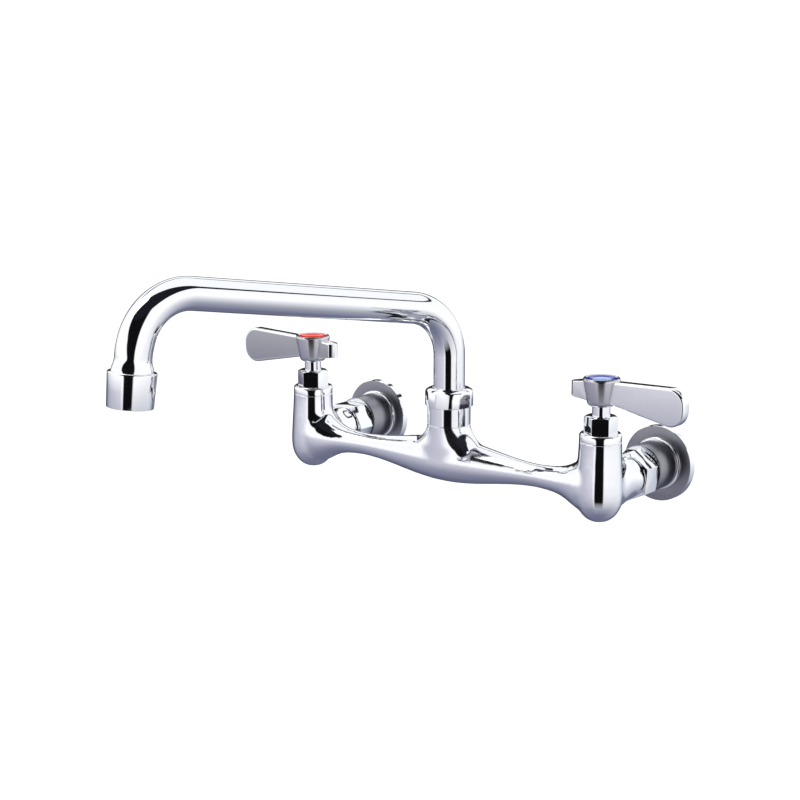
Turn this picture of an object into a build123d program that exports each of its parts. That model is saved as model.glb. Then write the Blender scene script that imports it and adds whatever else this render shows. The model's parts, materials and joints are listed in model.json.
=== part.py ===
from build123d import *
import math
import os

# A wall mounted kitchen faucet for a commercial sink: a cast body between two quarter-turn
# ceramic valves with wing levers, a swivelling spout of bent tube, and two eccentric
# union inlets on the wall.
#
# Millimetres. X runs to the right seen from the front (hot on -X, cold on +X), Y runs into
# the wall, Z is up. The origin is on the wall, halfway between the two inlets.

# ---------------------------------------------------------------- driving dimensions

INLET_CENTRES = 203.2          # between the two supply pipes, 8 inches
WALL_DISTANCE = 64.5           # from the wall to the plane of the valves
ECCENTRIC_OFFSET = 1.5         # the unions are turned so that the body hangs this much lower

# cast body
BARREL_TOP_Z = 24.0            # top lip of a valve barrel
BARREL_WALL = 3.1              # barrel wall round the cartridge at the lip
BARREL_SWELL = 1.4             # the barrel is this much fatter at its waist
BARREL_WAIST_DROP = 2.5        # waist below the arm axis
DOME_DEPTH = 16.5              # rounded underside below the waist
TAIL_RADIUS = 11.8             # round tail towards the wall
TAIL_BLEND = 5.0
ARM_RADIUS = 6.3               # slimmest part of the arms
ARM_MIDDLE_RADIUS = 12.5       # under the spout boss
ARM_END_RADIUS = 9.9           # where the arm ends, inside the barrel
ARM_WAIST_X = 60.0
ARM_END_INSET = 7.6            # from the valve's axis back to the end of the arm
ARM_FLARE_SHARE = 0.32         # of the flare at the barrel, reached halfway along it
BOSS_TOP_Z = 19.3
BOSS_SHOULDER = 1.4            # ledge round the threaded neck
BOSS_BLEND = 6.0
SPOUT_NECK_HEIGHT = 8.7
SPOUT_NECK_WALL = 2.5

# waterways
CARTRIDGE_BORE_RADIUS = 8.5
SEAT_Z = -7.0                  # floor that the cartridge seals against
SEAT_OPENING_RADIUS = 4.5
LOWER_CHAMBER_DEPTH = 10.0
CHAMBER_RADIUS = 9.6           # groove round the cartridge windows
CHAMBER_HEIGHT = 9.6
ARM_WATERWAY_RADIUS = 3.5
INLET_PASSAGE_RADIUS = 2.4
PASSAGE_FLOOR_MARGIN = 0.1     # the passage starts this far above the chamber's floor
PASSAGE_OVERRUN = 2.0          # and ends this far inside the tail's thread
SPOUT_BORE_RADIUS = 8.3
SPOUT_BORE_FLOOR_Z = -7.5
TAIL_THREAD_RADIUS = 8.0
TAIL_THREAD_DEPTH = 12.0

# clearances
THREAD_CLEARANCE = 0.1         # between threads, which are left plain here
RUNNING_CLEARANCE = 0.05       # between a shaft and its bore, on the radius
FREE_CLEARANCE = 0.3           # between pieces that pass without touching
FACE_CLEARANCE = 0.05          # oil film between flat faces that slide
SNUG_CLEARANCE = 0.05          # between brazed or pushed-in pieces

# ceramic cartridge
SEAL_THICKNESS = 2.0
SEAL_INNER_RADIUS = 5.9
FIXED_DISC_THICKNESS = 2.8
MOVING_DISC_THICKNESS = 2.5
PORT_INNER_RADIUS = 1.9
PORT_OUTER_RADIUS = 5.5
PORT_ANGLE = 76.0
LUG_WIDTH = 3.0
SKIRT_WALL = 1.2
DRIVE_SLOT_WIDTH = 3.6
DRIVE_SLOT_LENGTH = 9.0
DRIVE_SLOT_DEPTH = 0.9
DRIVE_BLOCK_HEIGHT = 4.1
DRIVE_BLOCK_WIDTH = 6.0
SPINDLE_FLANGE_HEIGHT = 3.0
THRUST_WASHER_THICKNESS = 0.5
WINDOW_WIDTH = 9.0
SPINDLE_RADIUS = 4.9
SPINDLE_NECK_HEIGHT = 5.5      # bare spindle between the hexagon and the lever
BONNET_RING_HEIGHT = 4.8
BONNET_RING_EDGE = 1.4
BONNET_HEX_FLATS = 16.0
BONNET_HEX_HEIGHT = 9.2
BONNET_HEX_TURN = 30.0         # flats face the sides
BONNET_CROWN = 0.7             # how far the hexagon's corners are cut down
STEM_O_RING_THICKNESS = 1.5
STEM_O_RING_SPACING = 4.0
BONNET_O_RING_THICKNESS = 1.6
BONNET_O_RING_DROP = 1.9       # below the barrel lip

# levers
HUB_HEIGHT = 15.3
HUB_FOOT_RADIUS = 6.0
HUB_LOWER_RADIUS = 7.7
HUB_TOP_RADIUS = 10.2
HUB_FOOT_ROUND = 2.0
LEVER_REACH = 52.0             # from the spindle axis to the end of the blade
LEVER_THICKNESS = 6.6
BLADE_ROOT_LOW = 3.4           # above the foot of the hub, at the spindle axis
STUB_ROOT_LOW = 1.9
LEVER_ROOT_HIGH = 14.1
LEVER_END_LOW = -7.3
LEVER_END_HIGH = 15.7
LEVER_CORNER = 9.0
LEVER_EDGE = 1.3
STUB_REACH = 16.0
STUB_THICKNESS = 8.0
STUB_LOW = 4.4
STUB_HIGH = 12.2
STUB_END_CHAMFER = 2.4         # on the upright corners of its end
BROACH_FLATS = 7.8             # eight-sided drive between spindle and lever
BROACH_HEIGHT = 8.5
SCREW_RADIUS = 1.6
SCREW_LENGTH = 11.0
SCREW_HEAD_RADIUS = 3.2
SCREW_HEAD_HEIGHT = 2.2
SCREW_SLOT_LENGTH = 4.2
SCREW_SLOT_WIDTH = 0.8
LEVER_WEB = 2.6                # floor under the screw head
BUTTON_RADIUS = 9.3
BUTTON_THICKNESS = 1.1
BUTTON_RIM = 0.5
BUTTON_DISH = 0.3
BUTTON_PLUG_WALL = 0.9
BUTTON_PLUG_LENGTH = 2.0

# wall unions
FLANGE_RADIUS = 21.5
FLANGE_THICKNESS = 4.5
FLANGE_EDGE = 0.6              # the rim's front edge is broken this much
HUB_RADIUS = 13.8
HUB_LENGTH = 19.0
HUB_BEAD = 1.0
INLET_THREAD_RADIUS = 9.3      # half inch pipe thread, inside
INLET_THREAD_LENGTH = 14.0
UNION_NECK_RADIUS = 10.9
UNION_NECK_LENGTH = 6.0
UNION_BORE_RADIUS = 5.5
UNION_WASHER_THICKNESS = 2.0
UNION_COLLAR_LENGTH = 3.0
UNION_TAIL_NECK_RADIUS = 9.0
NUT_FLATS = 25.0
NUT_LENGTH = 12.0
NUT_LIP = 2.2
NUT_TO_BODY_GAP = 0.75         # the tail ends this far short of the coupling nut
NUT_TURN = 12.0                # tightened until its side corners stand this much up

# spout nut and shank
SPOUT_NUT_ROUND_HEIGHT = 10.5
SPOUT_NUT_HEX_HEIGHT = 9.0
SPOUT_NUT_CROWN = 1.6
SPOUT_NUT_WALL = 1.4
SPOUT_NUT_TURN = 39.0          # its corners, turned from facing the sides
SPOUT_NUT_LIP = 5.0
SWIVEL_WASHER_THICKNESS = 1.0
SHANK_FLANGE_HEIGHT = 3.0
SHANK_SPIGOT_LENGTH = 21.5
SHANK_BORE_RADIUS = 5.0
SHANK_SOCKET_HEIGHT = 4.0
SPOUT_O_RING_THICKNESS = 1.8
SPOUT_O_RING_SPACING = 6.0
RETAINING_RING_GAP_ANGLE = 20.0

# spout
TUBE_RADIUS = 9.0
TUBE_WALL = 1.2
SPOUT_SWING = 15.7             # towards the hot side, from straight out
SPOUT_REACH = 203.2            # swivel axis to the middle of the outlet, 8 inches
RISER_HEIGHT = 26.8            # straight tube above the shank flange
FIRST_BEND_RADIUS = 30.0
SPOUT_TILT = 8.6               # the long run climbs at this angle
SECOND_BEND_RADIUS = 29.5
DROP_LEAN = 16.0
DROP_LENGTH = 2.0
THIRD_BEND_RADIUS = 40.0
OUTLET_LEAN = 6.0
SWAGE_LENGTH = 6.5             # the tube widens to its outlet collar
SWAGE_RADIUS = 11.2
SWAGE_FLARE_SHARE = 0.25       # of the widening, reached halfway along it
OUTLET_THREAD_LENGTH = 8.0

# outlet
COLLAR_TOP_RADIUS = 12.8
COLLAR_FOOT_RADIUS = 12.1
COLLAR_LENGTH = 18.5
COLLAR_LIP = 1.6
COLLAR_MOUTH_RADIUS = 8.8
COLLAR_EDGE = 1.0
AERATOR_WASHER_THICKNESS = 1.5
AERATOR_RIM_THICKNESS = 1.5
AERATOR_RADIUS = 9.9
AERATOR_FLOOR = 1.5
AERATOR_HOLE_RADIUS = 0.9
AERATOR_ROW_SPACING = 3.3
AERATOR_ROW_HOLES = 6          # holes in the first row, and as many more in the next

# ---------------------------------------------------------------- levels and places worked out

VALVE_Y = -WALL_DISTANCE
BODY_AXIS_Z = -ECCENTRIC_OFFSET
SIDES = {"hot": -1, "cold": 1}

BARREL_TOP_RADIUS = CARTRIDGE_BORE_RADIUS + BARREL_WALL
BARREL_WAIST_RADIUS = BARREL_TOP_RADIUS + BARREL_SWELL
BARREL_WAIST_Z = BODY_AXIS_Z - BARREL_WAIST_DROP
ARM_END_X = INLET_CENTRES / 2 - ARM_END_INSET

SPOUT_NECK_RADIUS = SPOUT_BORE_RADIUS + SPOUT_NECK_WALL
SPOUT_NECK_TOP_Z = BOSS_TOP_Z + SPOUT_NECK_HEIGHT
BOSS_RADIUS = SPOUT_NECK_RADIUS + BOSS_SHOULDER

SEAL_TOP_Z = SEAT_Z + SEAL_THICKNESS
FIXED_DISC_TOP_Z = SEAL_TOP_Z + FIXED_DISC_THICKNESS
MOVING_DISC_LOW_Z = FIXED_DISC_TOP_Z + FACE_CLEARANCE
MOVING_DISC_TOP_Z = MOVING_DISC_LOW_Z + MOVING_DISC_THICKNESS
DRIVE_BLOCK_LOW_Z = MOVING_DISC_TOP_Z + FACE_CLEARANCE
SPINDLE_FLANGE_LOW_Z = DRIVE_BLOCK_LOW_Z + DRIVE_BLOCK_HEIGHT
SPINDLE_FLANGE_TOP_Z = SPINDLE_FLANGE_LOW_Z + SPINDLE_FLANGE_HEIGHT
THRUST_WASHER_LOW_Z = SPINDLE_FLANGE_TOP_Z + FACE_CLEARANCE
BONNET_SHOULDER_Z = THRUST_WASHER_LOW_Z + THRUST_WASHER_THICKNESS + FACE_CLEARANCE
SKIRT_RADIUS = CARTRIDGE_BORE_RADIUS - THREAD_CLEARANCE
SKIRT_INNER_RADIUS = SKIRT_RADIUS - SKIRT_WALL
INNER_PIECE_RADIUS = SKIRT_INNER_RADIUS - FREE_CLEARANCE
BONNET_HEX_LOW_Z = BARREL_TOP_Z + BONNET_RING_HEIGHT
BONNET_TOP_Z = BONNET_HEX_LOW_Z + BONNET_HEX_HEIGHT
SPINDLE_HOLE_RADIUS = SPINDLE_RADIUS + RUNNING_CLEARANCE
STEM_GROOVE_Z = (BONNET_SHOULDER_Z + BARREL_TOP_Z) / 2

HUB_FOOT_Z = BONNET_TOP_Z + SPINDLE_NECK_HEIGHT
HUB_TOP_Z = HUB_FOOT_Z + HUB_HEIGHT
SPINDLE_TOP_Z = HUB_FOOT_Z + BROACH_HEIGHT
SOCKET_TOP_Z = SPINDLE_TOP_Z + SNUG_CLEARANCE
SCREW_SEAT_Z = SOCKET_TOP_Z + LEVER_WEB
BUTTON_SEAT_Z = HUB_TOP_Z - BUTTON_THICKNESS
COUNTERBORE_RADIUS = SCREW_HEAD_RADIUS + FREE_CLEARANCE + BUTTON_PLUG_WALL + SNUG_CLEARANCE

FLANGE_FACE_Y = -FLANGE_THICKNESS
UNION_HUB_Y = FLANGE_FACE_Y - HUB_LENGTH
UNION_FACE_Y = UNION_HUB_Y - UNION_NECK_LENGTH
UNION_COLLAR_END_Y = UNION_FACE_Y - UNION_WASHER_THICKNESS
UNION_COLLAR_Y = UNION_COLLAR_END_Y - UNION_COLLAR_LENGTH
NUT_BORE_RADIUS = UNION_NECK_RADIUS + THREAD_CLEARANCE
NUT_LIP_END_Y = UNION_COLLAR_Y - FACE_CLEARANCE
NUT_FRONT_Y = NUT_LIP_END_Y - NUT_LIP
TAIL_END_Y = NUT_FRONT_Y - NUT_TO_BODY_GAP

SWIVEL_WASHER_TOP_Z = SPOUT_NECK_TOP_Z + SWIVEL_WASHER_THICKNESS
SHANK_FLANGE_LOW_Z = SWIVEL_WASHER_TOP_Z + FACE_CLEARANCE
SHANK_FLANGE_TOP_Z = SHANK_FLANGE_LOW_Z + SHANK_FLANGE_HEIGHT
SPOUT_NUT_FOOT_Z = BOSS_TOP_Z + FACE_CLEARANCE
SPOUT_NUT_BORE_RADIUS = SPOUT_NECK_RADIUS + THREAD_CLEARANCE
SPOUT_NUT_RADIUS = SPOUT_NUT_BORE_RADIUS + SPOUT_NUT_WALL
SPOUT_NUT_HEX_LOW_Z = SPOUT_NUT_FOOT_Z + SPOUT_NUT_ROUND_HEIGHT
SPOUT_NUT_TOP_Z = SPOUT_NUT_HEX_LOW_Z + SPOUT_NUT_HEX_HEIGHT + SPOUT_NUT_CROWN
SPOUT_NUT_LIP_Z = SPOUT_NUT_TOP_Z - SPOUT_NUT_LIP
RETAINING_RING_LOW_Z = SHANK_FLANGE_TOP_Z + FACE_CLEARANCE
SHANK_SPIGOT_RADIUS = SPOUT_BORE_RADIUS - RUNNING_CLEARANCE
SHANK_FLANGE_RADIUS = SPOUT_NUT_BORE_RADIUS - FREE_CLEARANCE
TUBE_INNER_RADIUS = TUBE_RADIUS - TUBE_WALL

OUTPUT = "parts"
os.makedirs(OUTPUT, exist_ok=True)


# ---------------------------------------------------------------- shared shapes

def level(x, y, z):
    """A level plane with its middle at the given point."""
    return Plane((x, y, z))


def facing_wall(x, y, z):
    """A plane whose normal runs into the wall."""
    return Plane(origin=(x, y, z), x_dir=(1, 0, 0), z_dir=(0, 1, 0))


def upright(x, y):
    """A front view plane through a vertical axis: local x is radius, local y is height."""
    return Plane(origin=(x, y, 0), x_dir=(1, 0, 0), z_dir=(0, -1, 0))


def ring(base, height, outer, inner=0.0, mode=Mode.ADD):
    """A disc or ring that stands on the base plane."""
    with BuildSketch(base) as face:
        Circle(outer)
        if inner > 0:
            Circle(inner, mode=Mode.SUBTRACT)
    extrude(face.sketch, amount=height, mode=mode)


def hexagon(base, height, flats, turn, mode=Mode.ADD):
    """A hexagonal prism on the base plane, measured across its flats."""
    with BuildSketch(base) as face:
        RegularPolygon(flats / 2, 6, major_radius=False, rotation=turn)
    extrude(face.sketch, amount=height, mode=mode)


def turned(x, y, outline, mode=Mode.ADD):
    """A piece turned on a vertical axis from straight lines (radius, height)."""
    with BuildSketch(upright(x, y)) as half:
        with BuildLine():
            Polyline(*outline, close=True)
        make_face()
    revolve(half.sketch, axis=Axis((x, y, 0), (0, 0, 1)), mode=mode)


def turned_to_wall(x, z, outline, mode=Mode.ADD):
    """A piece turned on an axis into the wall from straight lines (radius, Y)."""
    section = Plane(origin=(x, 0, z), x_dir=(1, 0, 0), z_dir=(0, 0, 1))
    with BuildSketch(section) as half:
        with BuildLine():
            Polyline(*outline, close=True)
        make_face()
    revolve(half.sketch, axis=Axis((x, 0, z), (0, 1, 0)), mode=mode)


def crown(x, y, low, high, corner_radius, drop):
    """Cut the corners of a hexagon to a shallow cone at its top."""
    far = corner_radius + 1.0
    outline = [(0, low), (far, low), (far, high - drop - (far - corner_radius)),
               (corner_radius, high - drop), (corner_radius - drop * 2, high), (0, high)]
    turned(x, y, outline, mode=Mode.INTERSECT)


def o_ring(plane, thickness, outer):
    """A rubber ring whose outside has the given radius."""
    with BuildPart(plane, mode=Mode.PRIVATE) as loop:
        Torus(outer - thickness / 2, thickness / 2)
    return loop.part


def keep(builder, name):
    """Label a finished piece and write it."""
    builder.part.label = name
    export_step(builder.part, f"{OUTPUT}/{name}.step")


def ports():
    """Two facing sectors, the openings of a ceramic disc, on the current sketch."""
    half_angle = math.radians(PORT_ANGLE / 2)
    for facing in (0, math.pi):
        corners = []
        for radius, edge in ((PORT_INNER_RADIUS, -1), (PORT_OUTER_RADIUS, -1),
                             (PORT_OUTER_RADIUS, 1), (PORT_INNER_RADIUS, 1)):
            angle = facing + edge * half_angle
            corners.append((radius * math.cos(angle), radius * math.sin(angle)))
        middle = (PORT_OUTER_RADIUS * math.cos(facing), PORT_OUTER_RADIUS * math.sin(facing))
        hollow = (PORT_INNER_RADIUS * math.cos(facing), PORT_INNER_RADIUS * math.sin(facing))
        with BuildLine() as edge_line:
            Line(corners[0], corners[1])
            ThreePointArc(corners[1], middle, corners[2])
            Line(corners[2], corners[3])
            ThreePointArc(corners[3], hollow, corners[0])
        make_face(edge_line.line, mode=Mode.SUBTRACT)


# ---------------------------------------------------------------- cast body

with BuildPart() as faucet_body:
    # barrels with domed undersides, each with a round tail towards the wall
    for side in SIDES.values():
        valve_x = side * INLET_CENTRES / 2
        with BuildSketch(upright(valve_x, VALVE_Y)):
            with BuildLine():
                Line((0, BARREL_TOP_Z), (BARREL_TOP_RADIUS, BARREL_TOP_Z))
                Spline((BARREL_TOP_RADIUS, BARREL_TOP_Z),
                       (BARREL_TOP_RADIUS + BARREL_SWELL / 2, (BARREL_TOP_Z + BARREL_WAIST_Z) / 2),
                       (BARREL_WAIST_RADIUS, BARREL_WAIST_Z),
                       tangents=[(0, -1), (0, -1)])
                Spline((BARREL_WAIST_RADIUS, BARREL_WAIST_Z),
                       (BARREL_WAIST_RADIUS * math.cos(math.pi / 4),
                        BARREL_WAIST_Z - DOME_DEPTH * math.sin(math.pi / 4)),
                       (0, BARREL_WAIST_Z - DOME_DEPTH),
                       tangents=[(0, -1), (-1, 0)])
                Line((0, BARREL_WAIST_Z - DOME_DEPTH), (0, BARREL_TOP_Z))
            make_face()
        revolve(axis=Axis((valve_x, VALVE_Y, 0), (0, 0, 1)))
        ring(facing_wall(valve_x, VALVE_Y, BODY_AXIS_Z), TAIL_END_Y - VALVE_Y, TAIL_RADIUS)
    tail_joints = [edge for edge in faucet_body.edges().filter_by(GeomType.LINE, reverse=True)
                   if edge.length > TAIL_RADIUS
                   and VALVE_Y < edge.bounding_box().max.Y < TAIL_END_Y - TAIL_BLEND
                   and edge.bounding_box().size.Z > ARM_RADIUS
                   and edge.bounding_box().min.Y > VALVE_Y]
    fillet(tail_joints, radius=TAIL_BLEND)

# the arms swell from a slim waist to the middle and to the barrels
with BuildPart() as arms:
    with BuildSketch(Plane(origin=(0, VALVE_Y, BODY_AXIS_Z), x_dir=(1, 0, 0), z_dir=(0, -1, 0))):
        with BuildLine():
            middle_slope = (ARM_MIDDLE_RADIUS + ARM_RADIUS) / 2
            flare_x = (ARM_WAIST_X + ARM_END_X) / 2
            flare_radius = ARM_RADIUS + (ARM_END_RADIUS - ARM_RADIUS) * ARM_FLARE_SHARE
            Spline((-ARM_END_X, ARM_END_RADIUS), (-flare_x, flare_radius),
                   (-ARM_WAIST_X, ARM_RADIUS), (-ARM_WAIST_X / 2, middle_slope),
                   (0, ARM_MIDDLE_RADIUS), (ARM_WAIST_X / 2, middle_slope),
                   (ARM_WAIST_X, ARM_RADIUS), (flare_x, flare_radius),
                   (ARM_END_X, ARM_END_RADIUS), tangents=[(1, -0.5), (1, 0.5)])
            Polyline((ARM_END_X, ARM_END_RADIUS), (ARM_END_X, 0), (-ARM_END_X, 0),
                     (-ARM_END_X, ARM_END_RADIUS))
        make_face()
    revolve(axis=Axis((0, VALVE_Y, BODY_AXIS_Z), (1, 0, 0)))
    ring(level(0, VALVE_Y, BODY_AXIS_Z), BOSS_TOP_Z - BODY_AXIS_Z, BOSS_RADIUS)
    boss_joint = [edge for edge in arms.edges()
                  if abs(edge.bounding_box().size.X - 2 * BOSS_RADIUS) < 1
                  and edge.bounding_box().size.Z > 1
                  and edge.bounding_box().max.Z < BOSS_TOP_Z - 1]
    fillet(boss_joint, radius=BOSS_BLEND)

with faucet_body:
    add(arms.part)
    ring(level(0, VALVE_Y, BOSS_TOP_Z), SPOUT_NECK_HEIGHT, SPOUT_NECK_RADIUS)
    # spout bore and the waterway between the valves
    ring(level(0, VALVE_Y, SPOUT_BORE_FLOOR_Z), SPOUT_NECK_TOP_Z - SPOUT_BORE_FLOOR_Z,
         SPOUT_BORE_RADIUS, mode=Mode.SUBTRACT)
    across = Plane(origin=(-INLET_CENTRES / 2, VALVE_Y, BODY_AXIS_Z), x_dir=(0, 1, 0),
                   z_dir=(1, 0, 0))
    ring(across, INLET_CENTRES, ARM_WATERWAY_RADIUS, mode=Mode.SUBTRACT)
    for side in SIDES.values():
        valve_x = side * INLET_CENTRES / 2
        # cartridge bore, the groove round it, the seat and the chamber below the seat
        ring(level(valve_x, VALVE_Y, SEAT_Z), BARREL_TOP_Z - SEAT_Z, CARTRIDGE_BORE_RADIUS,
             mode=Mode.SUBTRACT)
        ring(level(valve_x, VALVE_Y, SEAL_TOP_Z), CHAMBER_HEIGHT, CHAMBER_RADIUS,
             mode=Mode.SUBTRACT)
        ring(level(valve_x, VALVE_Y, SEAT_Z - LOWER_CHAMBER_DEPTH), LOWER_CHAMBER_DEPTH,
             SEAT_OPENING_RADIUS, mode=Mode.SUBTRACT)
        # threaded tail, and the sloping passage from it to the lower chamber
        ring(facing_wall(valve_x, TAIL_END_Y - TAIL_THREAD_DEPTH, BODY_AXIS_Z),
             TAIL_THREAD_DEPTH, TAIL_THREAD_RADIUS, mode=Mode.SUBTRACT)
        chamber_floor = SEAT_Z - LOWER_CHAMBER_DEPTH
        passage_low = Vector(valve_x, VALVE_Y,
                             chamber_floor + INLET_PASSAGE_RADIUS + PASSAGE_FLOOR_MARGIN)
        passage_high = Vector(valve_x, TAIL_END_Y - TAIL_THREAD_DEPTH + PASSAGE_OVERRUN,
                              BODY_AXIS_Z - TAIL_THREAD_RADIUS + INLET_PASSAGE_RADIUS)
        slope = passage_high - passage_low
        ring(Plane(origin=passage_low, x_dir=(1, 0, 0), z_dir=slope), slope.length,
             INLET_PASSAGE_RADIUS, mode=Mode.SUBTRACT)
keep(faucet_body, "faucet_body")


# ---------------------------------------------------------------- wall unions

for name, side in SIDES.items():
    valve_x = side * INLET_CENTRES / 2

    with BuildPart() as inlet_flange:
        turned_to_wall(valve_x, 0, [
            (0, 0), (FLANGE_RADIUS, 0), (FLANGE_RADIUS, FLANGE_FACE_Y + FLANGE_EDGE),
            (FLANGE_RADIUS - FLANGE_EDGE, FLANGE_FACE_Y), (HUB_RADIUS + HUB_BEAD, FLANGE_FACE_Y),
            (HUB_RADIUS, FLANGE_FACE_Y - HUB_BEAD), (HUB_RADIUS, UNION_HUB_Y + HUB_BEAD / 2),
            (HUB_RADIUS - HUB_BEAD / 2, UNION_HUB_Y), (0, UNION_HUB_Y)])
        ring(facing_wall(valve_x, UNION_FACE_Y, BODY_AXIS_Z), UNION_NECK_LENGTH,
             UNION_NECK_RADIUS)
        ring(facing_wall(valve_x, -INLET_THREAD_LENGTH, 0), INLET_THREAD_LENGTH,
             INLET_THREAD_RADIUS, mode=Mode.SUBTRACT)
        ring(facing_wall(valve_x, UNION_FACE_Y, BODY_AXIS_Z),
             -INLET_THREAD_LENGTH - UNION_FACE_Y, UNION_BORE_RADIUS, mode=Mode.SUBTRACT)
    keep(inlet_flange, f"{name}_inlet_flange")

    with BuildPart() as inlet_washer:
        ring(facing_wall(valve_x, UNION_COLLAR_END_Y, BODY_AXIS_Z), UNION_WASHER_THICKNESS,
             UNION_NECK_RADIUS - FREE_CLEARANCE, UNION_BORE_RADIUS)
    keep(inlet_washer, f"{name}_inlet_washer")

    with BuildPart() as union_tail:
        ring(facing_wall(valve_x, TAIL_END_Y - TAIL_THREAD_DEPTH, BODY_AXIS_Z),
             TAIL_THREAD_DEPTH, TAIL_THREAD_RADIUS - SNUG_CLEARANCE)
        ring(facing_wall(valve_x, TAIL_END_Y, BODY_AXIS_Z), UNION_COLLAR_Y - TAIL_END_Y,
             UNION_TAIL_NECK_RADIUS)
        ring(facing_wall(valve_x, UNION_COLLAR_Y, BODY_AXIS_Z), UNION_COLLAR_LENGTH,
             UNION_NECK_RADIUS - FREE_CLEARANCE)
        ring(facing_wall(valve_x, TAIL_END_Y - TAIL_THREAD_DEPTH, BODY_AXIS_Z),
             UNION_COLLAR_END_Y - TAIL_END_Y + TAIL_THREAD_DEPTH, UNION_BORE_RADIUS,
             mode=Mode.SUBTRACT)
    keep(union_tail, f"{name}_union_tail")

    with BuildPart() as coupling_nut:
        hexagon(facing_wall(valve_x, NUT_FRONT_Y, BODY_AXIS_Z), NUT_LENGTH, NUT_FLATS,
                -NUT_TURN)
        corner = NUT_FLATS / math.sqrt(3)
        chamfer_depth = (corner - NUT_FLATS / 2) / 2
        turned_to_wall(valve_x, BODY_AXIS_Z, [
            (0, NUT_FRONT_Y), (NUT_FLATS / 2, NUT_FRONT_Y), (corner, NUT_FRONT_Y + chamfer_depth),
            (corner, NUT_FRONT_Y + NUT_LENGTH - chamfer_depth),
            (NUT_FLATS / 2, NUT_FRONT_Y + NUT_LENGTH), (0, NUT_FRONT_Y + NUT_LENGTH)],
            mode=Mode.INTERSECT)
        ring(facing_wall(valve_x, NUT_LIP_END_Y, BODY_AXIS_Z), NUT_LENGTH - NUT_LIP,
             NUT_BORE_RADIUS, mode=Mode.SUBTRACT)
        ring(facing_wall(valve_x, NUT_FRONT_Y, BODY_AXIS_Z), NUT_LIP,
             UNION_TAIL_NECK_RADIUS + THREAD_CLEARANCE, mode=Mode.SUBTRACT)
    keep(coupling_nut, f"{name}_coupling_nut")


# ---------------------------------------------------------------- ceramic cartridges

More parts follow.
